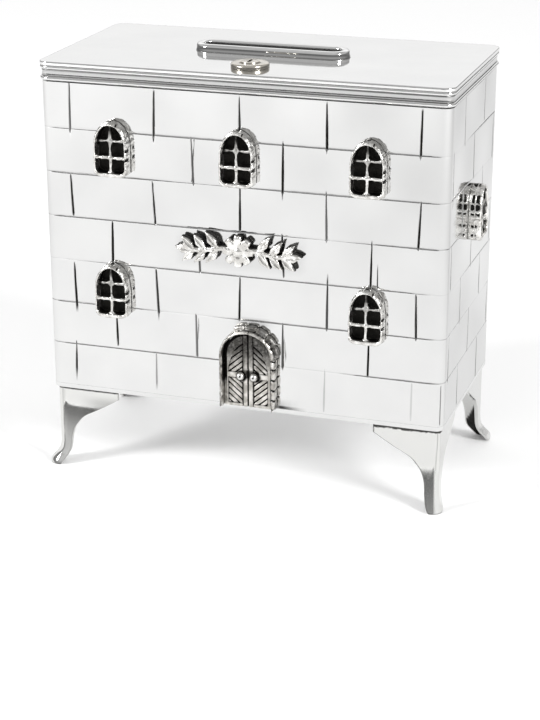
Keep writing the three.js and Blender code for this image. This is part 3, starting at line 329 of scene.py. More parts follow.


# The feet's silver has a black band at the top: the solder seam and painted shade under the base plate.
neat_seam = silver_sheet("polished sterling sheet, neat solder seam", "#dadad6", 0.08, 22.45, 0.0006)
rough_seam = silver_sheet("polished sterling sheet, rough solder seam", "#dadad6", 0.075, 22.2, 0.003)
# How far each front foot's face leans back from the upright, in degrees, at each height: the sheet
# starts to lean under the wing, sooner near the ridge, and the toe turns up. The first two numbers
# say how near the ridge and how softly. The mesh keeps its form, and only its normals lean.
LEANS = {
    "foot_front_left": (1.6, 0.7, [0.0, 0.5, 1.5, 7.0, 11.3, 14.6, 17.4, 18.2, 19.2],
                        [13.0, 20.0, 32.0, 28.0, 22.0, 16.0, 12.0, 10.2, 0.0]),
    "foot_front_right": (0.95, 0.3, [0.0, 4.0, 8.0, 11.8, 12.5, 13.2], [19.0, 16.5, 14.0, 11.6, 10.2, 0.0]),
}
# Each foot's side across and towards the front, the widths of its leg and toe, the toe's splay to
# the side and to the front, the height where it starts, the height of the tongue and its share of
# the width at the floor, the silver, and how dark its cut edge is painted as shade.
FEET = [
    ("foot_front_left", -1, 1, 3.8, 4.7, 3.0, 1.8, 9.0, 2.6, 0.7, neat_seam, 0.15),
    ("foot_front_right", 1, 1, 3.8, 4.0, 1.2, 2.2, 7.6, 2.4, 0.78, rough_seam, 1.0),
    ("foot_back_left", -1, -1, 4.6, 6.8, 3.0, 2.5, 9.3, 4.6, 0.52, neat_seam, 0.15),
    ("foot_back_right", 1, -1, 4.6, 6.8, 3.0, 2.5, 9.3, 4.6, 0.52, neat_seam, 0.15),
]
for name, side_x, side_y, leg_width, toe_width, splay_x, *heights_of_toe, silver, edge_black in FEET:
    rings = foot_rings(leg_width, toe_width, splay_x, *heights_of_toe)
    points, faces = tube(rings)
    index = np.tile(np.arange(rings.shape[1]), len(rings))
    outer_face = index < INNER_FACE
    height = points[:, 2]
    ridge = np.repeat(rings[:, :, 0].max(1), rings.shape[1])
    from_ridge = ridge - points[:, 0]
    flare = (ridge - WIDTH / 2 + SETBACK) / splay_x

    # Painted shade: the inner face is darkened as a painted reflection of the shade under the box, most
    # in the inner corner, where it widens towards the toe. A thin painted dark line follows the fold, and
    # the cut edge and the foot of the outer face are darkened as shade.
    black_width = np.interp(height, [0.0, 4.2, 5.9, 7.5, 9.1, 12.3, 14.0],
                            [9.0, 7.0, 3.4, 2.3, 1.6, 0.5, 0.0])
    in_corner = fade(black_width + 1.2 - from_ridge, 0.0, 0.8) * (height < 14.0)
    cut_edge = np.interp(index, [0.5, 1, 2, 5, 7, 7.5], [0.0, 0.4, 0.7, 0.8, 0.7, 0.0]) * edge_black
    fold_at = np.interp(height, [3.0, 13.0, 20.0], [18.6, 18.6, 20.2]) if name == "foot_front_right" else 15.5
    fold_line = 0.5 * np.exp(-((index - fold_at) / 0.6) ** 2) * fade(height, 10.0, 13.0)
    at_floor = outer_face * 0.45 * fade(0.5 - height, 0.0, 0.4)
    grime = np.maximum.reduce([
        ~outer_face * np.maximum(in_corner * 0.97, 0.2), cut_edge * fade(height, 0.0, 2.0),
        fold_line, at_floor,
    ])

    # The front feet have the dull marks and the uneven fold that their own polishing gave them. The front
    # left one also has painted shade under its wing and a painted dark reflection at its toe's bend.
    worn = np.zeros(len(points))
    fold_start = float(FOLD_START)
    ridge_lean = np.interp(height, [0.0, 7.0], [7.0, 1.0])
    face_lean, on_ridge = ridge_lean, 0.0
    if name in LEANS:
        near, soft, heights, leans = LEANS[name]
        raised = height - 3.5 * np.exp(-np.clip(from_ridge - near, 0, 9) / soft)
        face_lean = np.interp(np.where(height < 6, height, raised), heights, leans)
    if name == "foot_front_left":
        # Painted shade under the wing, and a painted dark reflection at the toe's bend.
        under_wing = 0.36 * fade(from_ridge, 5.0, 15.0) * fade(22.0 - height, 0.0, 3.0)
        stain = 0.62 * np.exp(-((points[:, 0] - 53.4) ** 2 / 0.5 + (height - 3.8) ** 2 / 1.1))
        grime = np.maximum.reduce([grime, under_wing, stain * (points[:, 1] < -DEPTH / 2)])
        worn = 0.6 * np.exp(-((from_ridge - 1.5 - 0.9 * flare) / 0.45) ** 2) * fade(18.0 - height, 0.0, 2.0)
        worn *= fade(height, 6.0, 10.0) * outer_face
        on_ridge = fade(from_ridge, 1.6 + flare + 0.5, 0.9 + flare * 0.8)
        fold_start = FOLD_START - 1.6 * fade(4.5 - height, 0.0, 3.0)
        ridge_lean = np.interp(height, [0.0, 0.5, 1.5, 3.0, 4.6, 7.0], [13.0, 18.0, 27.0, 21.0, 6.0, 1.0])
    elif name == "foot_front_right":
        worn = 0.9 * np.exp(-((index - 18.3) / 1.5) ** 2) * fade(13.0 - height, 0.0, 2.0)
        on_ridge = fade(index, fold_at - 2.6, fold_at + 1.9)

    made = put("bracket_" + name, "box", "polished_silver", silver, points * [side_x, side_y, 1], faces,
               stands_for=[name], smooth=180, levels={"soot": grime, "dull": worn})
    mesh = made.data
    normals = np.empty(len(points) * 3, np.float32)
    mesh.vertices.foreach_get("normal", normals)
    normals = normals.reshape(-1, 3)
    lean = np.radians(face_lean + (ridge_lean - face_lean) * on_ridge)
    turn = np.radians(270 + 90 * np.clip((index - fold_start) / (FOLD_END - fold_start), 0, 1))
    wanted = np.stack([
        np.cos(turn) * np.cos(lean) * side_x, np.sin(turn) * np.cos(lean) * side_y, np.sin(lean),
    ], 1)
    # The cut edges, the inner face and the sole keep the mesh's own normals.
    is_upright = (np.abs(normals[:, 2:]) < 0.85) | (height[:, None] > 0.03)
    weight = np.interp(index, [5.6, 7, 28, 29.4], [0, 1, 1, 0])[:, None] * is_upright
    mixed = normals * (1 - weight) + wanted * weight
    mixed /= np.maximum(np.linalg.norm(mixed, axis=1, keepdims=True), 1e-6)
    mesh.normals_split_custom_set_from_vertices(mixed.tolist())

# The base plate: 1.3 mm sterling sheet, whose polished edge shows as a thin bright line under the
# walls. The walls are soldered on it and the seam is left faintly dark.
BASE_FOOT, BASE_HEAD = FOOT_HEIGHT, 24.5
CORNER = 2.5
BASE_EASE, BASE_BRIM = 0.15, 0.06


def round_the_box(section, steps=8):
    """Rings round the box, one for each offset from its outline and level of a section. They start at
    the right end of the front and go anticlockwise, with the given steps to each corner."""
    rings = []
    for offset, level in section:
        radius = max(CORNER + offset, 0.1)
        x, y = WIDTH / 2 + offset - radius, DEPTH / 2 + offset - radius
        corners = [(x, -y, 270), (x, y, 0), (-x, y, 90), (-x, -y, 180)]
        outline = [arc((across, back), radius, start, start + 90, steps) for across, back, start in corners]
        rings.append(at_level(np.vstack(outline), level))
    return rings


sheet_silver = silver_sheet("polished sterling sheet")
base_edge = [
    (-BASE_EASE, BASE_FOOT), (-BASE_EASE * 0.3, BASE_FOOT + BASE_EASE * 0.3), (0.0, BASE_FOOT + BASE_EASE),
    (0.0, BASE_HEAD - BASE_BRIM), (-BASE_BRIM, BASE_HEAD),
]
put("base_plate_sheet", "box", "polished_silver", sheet_silver, *tube(round_the_box(base_edge)),
    stands_for=["base_plate"])

# The walls: one band of 1 mm sterling sheet bent round four corners. The stone courses are engraved
# with a burin: thin level lines, and upright joints that are cut deeper, swell and taper, wander
# off the plumb and sometimes overrun. The cuts are blackened and the face is polished back.
WALL_FOOT = BASE_HEAD
COURSE, COURSES = 12.0, 7
STRAIGHT_X = WIDTH / 2 - CORNER
STRAIGHT_Y = DEPTH - 2 * CORNER
TURN = math.pi / 2 * CORNER
HALF_ROUND = 2 * STRAIGHT_X + STRAIGHT_Y + 2 * TURN
BLOCK = 2 * HALF_ROUND / 14
LINE_DEPTH, JOINT_DEPTH = 0.13, 0.3


def on_plan(distance):
    """The point and the outward direction at a distance round the walls from the front's middle."""
    side = 1 if distance >= 0 else -1
    run = abs(distance)
    if run <= STRAIGHT_X:
        x, y, facing = run, -DEPTH / 2, 0.0
    elif run <= STRAIGHT_X + TURN:
        facing = (run - STRAIGHT_X) / CORNER
        x = STRAIGHT_X + CORNER * math.sin(facing)
        y = -DEPTH / 2 + CORNER - CORNER * math.cos(facing)
    elif run <= STRAIGHT_X + TURN + STRAIGHT_Y:
        x, y, facing = WIDTH / 2, -DEPTH / 2 + CORNER + run - STRAIGHT_X - TURN, math.pi / 2
    elif run <= STRAIGHT_X + 2 * TURN + STRAIGHT_Y:
        facing = math.pi / 2 + (run - STRAIGHT_X - TURN - STRAIGHT_Y) / CORNER
        x = STRAIGHT_X + CORNER * math.sin(facing)
        y = DEPTH / 2 - CORNER - CORNER * math.cos(facing)
    else:
        x, y, facing = 2 * STRAIGHT_X + 2 * TURN + STRAIGHT_Y - run, DEPTH / 2, math.pi
    return side * x, y, side * math.sin(facing), -math.cos(facing)


rng = np.random.default_rng(7)
# The joints that show in the photograph, by course and place in the bond: distance from the front's
# middle, how far the top leans to the right of the foot, the levels of its foot and head in the
# course, and how black it is. The others follow the bond.
SEEN = {
    (0, -2): (-47.6, 0.3, 3.0, 12.6, 1.0), (0, -1): (-24.2, 0.1, 2.0, 11.8, 0.55),
    (0, 1): (23.0, 0.2, 0.9, 12.3, 0.34), (0, 2): (46.5, 0.1, 1.2, 11.6, 0.24),
    (1, -2): (-35.3, -0.2, 0.9, 12.0, 1.0), (1, -1): (-12.5, -0.2, 0.1, 12.0, 0.75),
    (1, 0): (11.5, 0.1, -0.4, 12.0, 0.85), (1, 1): (34.8, 0.2, 0.0, 12.0, 1.0),
    (2, -2): (-47.0, -0.3, -1.3, 10.9, 1.0), (2, -1): (-23.4, -0.5, -0.9, 11.4, 0.95),
    (2, 0): (-0.3, 0.3, -0.2, 11.6, 1.0), (2, 1): (23.6, 0.1, -0.4, 13.3, 0.9),
    (2, 2): (47.2, -0.3, -0.4, 11.5, 1.0), (3, -2): (-35.8, 0.2, 0.3, 11.5, 1.0),
    (3, 1): (35.2, 0.2, 0.3, 12.5, 1.0), (4, -2): (-47.0, -0.4, 0.4, 11.3, 1.0),
    (4, -1): (-23.8, -0.6, 0.0, 11.5, 1.0), (4, 0): (0.0, 0.1, 0.2, 12.0, 1.0),
    (4, 1): (23.2, -0.2, -0.3, 12.6, 0.8), (4, 2): (47.6, 0.5, -0.2, 12.0, 1.0),
    (5, -1): (-12.9, -0.5, -0.2, 12.0, 0.85), (5, 0): (11.6, 0.1, -0.9, 12.4, 1.0),
    (6, 1): (23.2, -0.1, -0.5, 11.5, 1.0), (6, 2): (47.5, 0.2, -0.4, 11.5, 1.0),
}
cuts = []
for course in range(COURSES):
    first = 0.0 if course % 2 == 0 else 0.5
    for k in range(-7, 7):
        given = ((k + first) * BLOCK + rng.uniform(-0.35, 0.35), rng.uniform(-0.5, 0.5),
                 rng.uniform(-0.9, 0.9), rng.uniform(11.2, 12.2), rng.uniform(0.8, 1.0))
        middle, lean, foot, head, black = SEEN.get((course, k), given)
        cuts.append((course, middle, lean, foot, head, black, rng.uniform(0.34, 0.45), rng.uniform(0.2, 0.7)))
# A slip of the burin beside a joint, three fine double cuts, and one cut on the corner.
cuts += [
    (3, 36.9, 0.0, 0.3, 6.5, 0.9, 0.2, 0.6), (1, -12.2, 0.9, 1.5, 10.0, 0.8, 0.18, 0.5),
    (5, -12.7, 0.9, 0.3, 11.6, 0.8, 0.18, 0.4), (1, 12.1, -0.8, 2.0, 9.0, 0.6, 0.18, 0.6),
    (0, STRAIGHT_X + TURN * 0.45, 0.0, 0.4, 11.6, 0.8, 0.16, 0.2),
]

# The mesh is close at the cuts and corners, and wide between them.
FINE = (-0.75, -0.5, -0.34, -0.2, -0.08, 0.08, 0.2, 0.34, 0.5, 0.75)
LEAST_STEP = 0.045
places = set(round(v, 3) for v in np.linspace(-HALF_ROUND, HALF_ROUND, 161)[:-1])
for corner in (STRAIGHT_X, STRAIGHT_X + TURN + STRAIGHT_Y):
    for v in np.linspace(corner, corner + TURN, 13):
        places.update((round(v, 3), round(-v, 3)))
for cut in cuts:
    places.update(round((cut[1] + v + HALF_ROUND) % (2 * HALF_ROUND) - HALF_ROUND, 3) for v in FINE)
places = np.array(sorted(p for p in places if -HALF_ROUND <= p < HALF_ROUND))
places = places[np.insert(np.diff(places) > LEAST_STEP, 0, True)]

heights = [0.0, 0.15, 0.3, 0.45, 0.7, 0.85]
for course in range(COURSES):
    heights.extend(course * COURSE + v for v in np.linspace(1.0, 11.0, 6))
for line in range(1, COURSES):
    heights.extend(line * COURSE + v for v in (-0.5, -0.3, -0.15, 0.0, 0.15, 0.3, 0.5))
heights = np.array(sorted(heights + [COURSES * COURSE - 0.12, COURSES * COURSE]))

# S is the distance round the walls from the front's middle, and Z the height above their foot.
S, Z = np.meshgrid(places, heights)
depth = np.zeros_like(S)
soot = np.zeros_like(S)
on_corner = fade(2.6 - np.abs(np.abs(S) - STRAIGHT_X - TURN / 2), 0.0, 0.6)
for line in range(1, COURSES):
    weight = 0.55 + 0.45 * np.sin(S * 0.09 + 3 * line) * np.sin(S * 0.023 + line)
    mark = np.clip(1 - np.abs(Z - line * COURSE) / 0.25, 0, 1) * (0.25 + 0.75 * weight)
    depth = np.maximum(depth, LINE_DEPTH * mark * (1 - 0.7 * on_corner))
    broken = 0.62 + 0.22 * np.sin(S * 1.31 + 2 * line) * np.sin(S * 0.47 + line)
    soot = np.maximum(soot, np.clip(mark * 1.4 - 0.15, 0, 1) * broken)
for course, middle, lean, foot, head, black, wide, thin in cuts:
    up = (Z - course * COURSE - foot) / (head - foot)
    inside = (up > -0.02) & (up < 1.02)
    up = np.clip(up, 0, 1)
    blunt = np.clip(np.minimum(up, 1 - up) / 0.05 + 0.55, 0, 1)
    half = wide * (0.6 + 0.4 * black) * (1 - thin * np.clip((up - 0.4) / 0.6, 0, 1)) * blunt * inside
    reach = (S - middle - lean * (up - 0.5) + HALF_ROUND) % (2 * HALF_ROUND) - HALF_ROUND
    mark = np.clip(1 - np.abs(reach) / np.maximum(half, 1e-6), 0, 1) * inside
    depth = np.maximum(depth, JOINT_DEPTH * mark * blunt * black)
    soot = np.maximum(soot, np.clip(mark * 2.8, 0, 1) * (0.75 + 0.25 * blunt) * black)
# Painted shade over the walls, darker towards the top, towards the right round to the back, and on
# both side walls. Painted shade round the spray, a darker band just over the door's arch, and a dark
# smear of flux at the wall's foot, right of the door.
film = (0.14 + 0.09 * fade(S, 10.0, 50.0) * fade(HALF_ROUND - S, 0.0, 50.0)) * fade(Z, 5.0, 70.0)
film += 0.09 * fade(np.abs(S), STRAIGHT_X - 0.5, STRAIGHT_X + TURN)
film *= 0.75 + 0.25 * np.sin(S * 0.21 + 1.0) * np.sin(Z * 0.17)
near_spray = fade(np.abs(S), 21.0, 15.0) * fade(np.abs(Z - 42.7), 6.5, 3.0)
over_arch = fade(np.abs(S - 3.4), 6.5, 2.0) * fade(np.abs(Z - 23.4), 1.9, 0.5)
smear = 0.95 * np.clip((S - 9.6) / 0.8, 0, 1) * np.clip((17.5 - S) / 6.0, 0, 1)
smear *= np.clip(1.5 - np.abs(Z - 0.45 + 0.03 * (S - 10)) / 0.5, 0, 1)
soot = np.maximum.reduce([soot, film, 0.17 * near_spray + 0.3 * over_arch, smear])

x, y, out_x, out_y = np.array([on_plan(place) for place in places]).T
outside = np.stack([x - out_x * depth, y - out_y * depth, WALL_FOOT + Z], -1)
inner = [at_level(np.stack([x - out_x * SHEET, y - out_y * SHEET], 1), WALL_FOOT + height)
         for height in (heights[-1], heights[0])]
inner_points = 2 * len(places)
put("engraved_walls", "box", "polished_silver", sheet_silver, *tube([*outside, *inner], joined=True),
    stands_for=["wall_shell"], smooth=30.0,
    levels={"soot": np.concatenate([soot.ravel(), np.zeros(inner_points)]),
            "dull": np.repeat((0.0, 1.0), (S.size, inner_points))})


# The windows: ten castings from one wax, each a ring of small stones round an arched opening with a
# grille of one upright and two cross bars. The recess is left black from the oxide bath, the stones
# and bars are rubbed bright, and each casting is soldered to the face of the wall.
OPENING_HALF, OPENING_SPRING, OPENING_RISE, OPENING_CORNER = 4.05, 6.9, 5.8, 1.4
OPENING_HEIGHT = OPENING_SPRING + OPENING_RISE
WINDOW_PROJECTION = 3.5
WAX_GRAIN = 0.15


def arched(grow):
    """The opening's outline, grown all round, from the foot's left end, and its outward directions.
    The columns are across, up, and the two parts of the direction."""
    half, spring, rise, corner = OPENING_HALF, OPENING_SPRING, OPENING_RISE, OPENING_CORNER
    out = [(x, 0.0, 0.0, -1.0) for x in np.linspace(-half + corner, half - corner, 10)[:-1]]
    for t in np.radians(np.linspace(-90, 0, 7)[:-1]):
        to_side, to_head = math.cos(t), math.sin(t)
        out.append((half - corner + corner * to_side, corner + corner * to_head, to_side, to_head))
    out += [(half, v, 1.0, 0.0) for v in np.linspace(corner, spring, 12)[:-1]]
    for t in np.linspace(0, math.pi, 40):
        across, up = math.cos(t) / half, math.sin(t) / rise
        size = math.hypot(across, up)
        out.append((half * math.cos(t), spring + rise * math.sin(t), across / size, up / size))
    out += [(-half, v, -1.0, 0.0) for v in np.linspace(spring, corner, 12)[1:]]
    for t in np.radians(np.linspace(180, 270, 7)[1:-1]):
        to_side, to_head = math.cos(t), math.sin(t)
        out.append((-half + corner + corner * to_side, corner + corner * to_head, to_side, to_head))
    out = np.array(out)
    out[:, :2] += out[:, 2:] * grow
    return out


def taken_from(shape):
    """The points and faces of a worked shape, which is then freed."""
    shape.verts.index_update()
    points = np.array([corner.co[:] for corner in shape.verts])
    faces = [tuple(corner.index for corner in face.verts) for face in shape.faces]
    shape.free()
    return points, faces


def pebble():
    """A stone of unit size with rounded edges, for setting along a path."""
    squareness = 5.0
    shape = bmesh.new()
    bmesh.ops.create_cube(shape, size=2.0)
    bmesh.ops.subdivide_edges(shape, edges=shape.edges, cuts=3, use_grid_fill=True)
    for corner in shape.verts:
        size = sum(abs(v) ** squareness for v in corner.co) ** (1 / squareness)
        corner.co = corner.co / size * 0.5
    return taken_from(shape)


def lump(radius, squash, place):
    """A round lump of wax, pressed flat towards the wall."""
    shape = bmesh.new()
    bmesh.ops.create_icosphere(shape, subdivisions=3, radius=radius)
    points, faces = taken_from(shape)
    return points * (1.0, 1.0, squash) + place, faces


def full_turn(steps):
    """Angles at even steps round a circle."""
    return np.linspace(0, 2 * math.pi, steps + 1)[:-1]


def knobbly_bar(start, end, radius, seed):
    """A hand-cut bar between two points, whose thickness wanders."""
    steps = 24
    start, end = np.array(start, float), np.array(end, float)
    along = (end - start) / np.linalg.norm(end - start)
    aside, forward = np.cross(along, (0.0, 0.0, 1.0)), np.array((0.0, 0.0, 1.0))
    luck = np.random.default_rng(seed)
    wander = np.interp(np.arange(steps + 1), np.linspace(0, steps, 9), luck.uniform(-1, 1, 9))
    rings = []
    for i in range(steps + 1):
        centre = start + (end - start) * i / steps + aside * 0.07 * wander[i]
        r = radius * (1 + 0.14 * wander[-1 - i])
        rings.append([centre + aside * r * math.cos(t) + forward * r * 1.1 * math.sin(t)
                      for t in full_turn(12)])
    return tube(rings)


def path_tree():
    """Geometry nodes that set a piece at even steps along a path on a wall, seen from its front."""
    tree = bpy.data.node_groups.new("pieces set along a path", "GeometryNodeTree")
    tree.is_modifier = True
    for label, kind in (("Path", "Geometry"), ("Piece", "Object"), ("Count", "Int"), ("Size", "Vector"),
                        ("Size jitter", "Float"), ("Turn jitter", "Float"), ("Seed", "Int"),
                        ("Material", "Material")):
        tree.interface.new_socket(name=label, in_out="INPUT", socket_type="NodeSocket" + kind)
    tree.interface.new_socket(name="Pieces", in_out="OUTPUT", socket_type="NodeSocketGeometry")
    given = add(tree, "NodeGroupInput").outputs
    curve = add(tree, "GeometryNodeMeshToCurve", {"Mesh": given["Path"]})
    spots = add(tree, "GeometryNodeCurveToPoints", {
        "Curve": curve.outputs[0], "Count": given["Count"]}, mode="COUNT")
    facing = add(tree, "FunctionNodeAlignRotationToVector", {"Vector": (0.0, 0.0, 1.0)}, axis="Z")
    turned = add(tree, "FunctionNodeAlignRotationToVector", {
        "Rotation": facing.outputs[0], "Vector": spots.outputs["Tangent"]}, axis="X", pivot_axis="Z")
    least = add(tree, "ShaderNodeMath", {0: 1.0, 1: given["Size jitter"]}, operation="SUBTRACT")
    most = add(tree, "ShaderNodeMath", {0: 1.0, 1: given["Size jitter"]}, operation="ADD")
    luck = add(tree, "FunctionNodeRandomValue", {
        0: least.outputs[0], 1: most.outputs[0], "Seed": given["Seed"]}, data_type="FLOAT_VECTOR")
    size = add(tree, "ShaderNodeVectorMath", {0: given["Size"], 1: luck.outputs[0]}, operation="MULTIPLY")
    piece = add(tree, "GeometryNodeObjectInfo", {"Object": given["Piece"]})
    placed = add(tree, "GeometryNodeInstanceOnPoints", {
        "Points": spots.outputs["Points"], "Instance": piece.outputs["Geometry"],
        "Rotation": turned.outputs[0], "Scale": size.outputs[0]})
    back = add(tree, "ShaderNodeMath", {0: given["Turn jitter"], 1: -1.0}, operation="MULTIPLY")
    tilt = add(tree, "FunctionNodeRandomValue", {
        0: back.outputs[0], 1: given["Turn jitter"], "Seed": given["Seed"]}, data_type="FLOAT_VECTOR")
    swung = add(tree, "GeometryNodeRotateInstances", {
        "Instances": placed.outputs[0], "Rotation": tilt.outputs[0]})
    real = add(tree, "GeometryNodeRealizeInstances", {0: swung.outputs[0]})
    coated = add(tree, "GeometryNodeSetMaterial", {
        "Geometry": real.outputs[0], "Material": given["Material"]})
    add(tree, "NodeGroupOutput", {0: coated.outputs[0]})
    return tree


along_a_path = path_tree()


def plain_mesh(made):
    """The points, faces and edges that an object's modifiers give. The object is taken away."""
    result = bpy.data.meshes.new_from_object(made.evaluated_get(bpy.context.evaluated_depsgraph_get()))
    bpy.data.objects.remove(made)
    points = np.empty(len(result.vertices) * 3)
    result.vertices.foreach_get("co", points)
    edges = np.empty(len(result.edges) * 2, np.int64)
    result.edges.foreach_get("vertices", edges)
    return points.reshape(-1, 3), [tuple(face.vertices) for face in result.polygons], edges.reshape(-1, 2)


def set_along(path, piece, count, size, size_jitter, turn_jitter, seed, material):
    """A piece's points and faces, repeated at even steps along a path of across, up and forward."""
    line, pattern_mesh = bpy.data.meshes.new("path"), bpy.data.meshes.new("pattern")
    line.from_pydata(np.array(path, float).tolist(), [(i, i + 1) for i in range(len(path) - 1)], [])
    pattern_mesh.from_pydata(piece[0].tolist(), [], piece[1])
    carrier, pattern = in_scene("path", line), in_scene("pattern", pattern_mesh)
    modifier = carrier.modifiers.new("pieces", "NODES")
    modifier.node_group = along_a_path
    values = {"Piece": pattern, "Count": count, "Size": size, "Size jitter": size_jitter,
              "Turn jitter": turn_jitter, "Seed": seed, "Material": material}
    for socket in along_a_path.interface.items_tree:
        if socket.name in values:
            modifier[socket.identifier] = values[socket.name]
    points, faces, _ = plain_mesh(carrier)
    bpy.data.objects.remove(pattern)
    return points, faces


def together(shells):
    """One list of points and faces from several shells."""
    points, faces, count = [], [], 0
    for shell_points, shell_faces in shells:
        faces += [tuple(i + count for i in face) for face in shell_faces]
        points.append(shell_points)
        count += len(shell_points)
    return np.vstack(points), faces


def as_one(shells, grain):
    """Melts overlapping shells into one skin of even grain, as wax does. Gives points, faces and
    edges."""
    wax = in_scene("wax", closed_mesh("wax", *together(shells)))
    melt = wax.modifiers.new("melt", "REMESH")
    melt.mode = "VOXEL"
    melt.voxel_size = grain
    return plain_mesh(wax)


class Casting:
    """A skin whose points can be smoothed, roughened, grooved and blackened."""

    def __init__(self, points, faces, edges):
        self.points, self.faces, self.edges = points, faces, edges
        self.near = np.concatenate([edges, edges[:, ::-1]])
        self.degree = np.maximum(np.bincount(self.near[:, 0], minlength=len(points)), 1)
        self.quads = np.array([f if len(f) == 4 else (*f, f[-1]) for f in faces])
        self.soot = np.zeros(len(points))

    def around(self, values):
        """The mean of each point's neighbours."""
        values = values.reshape(len(self.points), -1)
        total = np.stack([
            np.bincount(self.near[:, 0], weights=column[self.near[:, 1]], minlength=len(values))
            for column in values.T], 1)
        return total / self.degree[:, None]

    def soften(self, times):
        for _ in range(times):
            self.points = self.points + 0.5 * (self.around(self.points) - self.points)

    def outward(self):
        a, b, c, d = (self.points[self.quads[:, i]] for i in range(4))
        across = np.cross(c - a, d - b)
        total = np.zeros_like(self.points)
        for i in range(4):
            for axis in range(3):
                total[:, axis] += np.bincount(self.quads[:, i], weights=across[:, axis], minlength=len(total))
        return total / np.maximum(np.linalg.norm(total, axis=1, keepdims=True), 1e-12)

    def push(self, distance):
        """Moves each point outwards by its own distance."""
        self.points = self.points + self.outward() * distance[:, None]

    def hollows(self, times=3):
        """How deep each point lies in a crease, above zero, or on a ridge, below zero."""
        bend = ((self.around(self.points) - self.points) * self.outward()).sum(1)
        for _ in range(times):
            bend = 0.5 * bend + 0.5 * self.around(bend)[:, 0]
        return bend

    def roughen(self, depth, grain, seed):
        """Pushes the skin in and out by a smooth random pattern of the given grain."""
        count, spread = 28, 5.3
        luck = np.random.default_rng(seed)
        waves = luck.normal(size=(count, 3))
        waves *= ((2 * math.pi / grain) * luck.uniform(0.6, 1.4, (count, 1))
                  / np.linalg.norm(waves, axis=1, keepdims=True))
        phases = luck.uniform(0, 2 * math.pi, count)
        self.push(depth * (np.sin(self.points @ waves.T + phases).sum(1) / spread))

    def groove(self, start, end, half_width, depth):
        """A cut along a straight line, blackened in its bed."""
        start, end = np.array(start, float), np.array(end, float)
        run = end - start
        at = np.clip(((self.points - start) @ run) / (run @ run), 0, 1)
        away = np.linalg.norm(self.points - start - at[:, None] * run, axis=1)
        mark = np.clip(1 - away / half_width, 0, 1)
        self.push(-depth * np.minimum(mark * 1.6, 1))
        self.soot = np.maximum(self.soot, np.clip(mark * 2.4, 0, 1))


def cast_metal(name, bright, dull, black, roughness):
    """Cast sterling from an oxide bath. Black stays in the pits and where a level says so, which holds
    the oxide and, on some pieces, painted shade; the high parts are rubbed back to grey and bright metal."""
    made, tree = empty_material(name)
    place = add(tree, "ShaderNodeTexCoord").outputs["Object"]
    pits = add(tree, "ShaderNodeTexNoise", {
        "Vector": place, "Scale": 1600.0, "Detail": 4.0, "Roughness": 0.65})
    stain = add(tree, "ShaderNodeTexNoise", {"Vector": place, "Scale": 520.0, "Detail": 3.0})
    soot = add(tree, "ShaderNodeAttribute", attribute_name="soot").outputs["Fac"]
    broken = add(tree, "ShaderNodeMath", {0: pits.outputs["Fac"], 1: 0.5, 2: -0.25}, operation="MULTIPLY_ADD")
    level = add(tree, "ShaderNodeMath", {0: soot, 1: broken.outputs[0]}, operation="ADD")
    masked = add(tree, "ShaderNodeMapRange", {0: level.outputs[0], 1: 0.12, 2: 0.8}).outputs[0]
    rubbed = add(tree, "ShaderNodeMapRange", {0: stain.outputs["Fac"], 1: 0.42, 2: 0.62}).outputs[0]
    metal = add(tree, "ShaderNodeMix", {0: rubbed, 6: linear(dull), 7: linear(bright)}, data_type="RGBA")
    colour = add(tree, "ShaderNodeMix", {0: masked, 6: metal.outputs[2], 7: linear(black)}, data_type="RGBA")
    rough = add(tree, "ShaderNodeMix", {0: masked, 2: roughness, 3: 0.55}).outputs[0]
    bump = add(tree, "ShaderNodeBump", {"Height": pits.outputs["Fac"], "Distance": 0.00006, "Strength": 0.7})
    surface = add(tree, "ShaderNodeBsdfPrincipled", {
        "Base Color": colour.outputs[2], "Roughness": rough, "Metallic": 1.0, "Normal": bump.outputs[0]})
    add(tree, "ShaderNodeOutputMaterial", {"Surface": surface.outputs[0]})
    return made


def frame_section(to_head):
    """The frame's section as outward and forward, where its outline faces up by the given share. It
    is thicker over the arch and thickest at the sill, and its front slopes back over the arch."""
    head, sill = max(0.0, to_head), max(0.0, -to_head)
    rim = 0.45 + 0.35 * head + 0.6 * sill
    front = WINDOW_PROJECTION - 0.04
    return [(-0.02, 0.1), (-0.02, front - 0.22), (0.14, front), (rim * 0.6, front - 0.1 * head),
            (rim, front - 0.25 - 0.75 * head), (rim, 1.6), (rim - 0.02, 0.5), (rim - 0.02, 0.0)]


cast_silver = cast_metal("cast sterling, blackened and rubbed", "#efeeeb", "#c9c7c3", "#242321", 0.26)
stone = pebble()
frame_rings = [
    [(across + to_side * out, up + to_head * out, forward) for out, forward in frame_section(to_head)]
    for across, up, to_side, to_head in arched(0.0)
]
back_sheet = [at_level(arched(0.4)[:, :2], forward) for forward in (0.0, 0.8)]
arch_path = [((OPENING_HALF + 0.12) * math.cos(t), OPENING_SPRING + (OPENING_RISE + 0.4) * math.sin(t), 1.5)
             for t in np.linspace(math.radians(168), math.radians(12), 60)]
bar_reach = OPENING_HALF + 0.3
shells = [
    tube(frame_rings, joined=True), tube(back_sheet),
    knobbly_bar((0.0, -0.4, 2.45), (0.05, OPENING_HEIGHT + 0.3, 2.3), 0.5, 3),
    knobbly_bar((-bar_reach, 4.15, 2.5), (bar_reach, 4.05, 2.5), 0.5, 4),
    knobbly_bar((-bar_reach, 8.5, 2.35), (bar_reach, 8.55, 2.4), 0.46, 5),
    set_along(arch_path, stone, 9, (1.8, 0.85, 3.1), 0.07, 0.1, 11, cast_silver),
]
for side, seed in ((-1, 21), (1, 22)):
    jamb = [(side * (OPENING_HALF + 0.32), v, 1.6) for v in (0.6, 2.4, 4.4, 6.2)]
    shells.append(set_along(jamb, stone, 4, (1.95, 0.6, 3.2), 0.04, 0.03, seed, cast_silver))
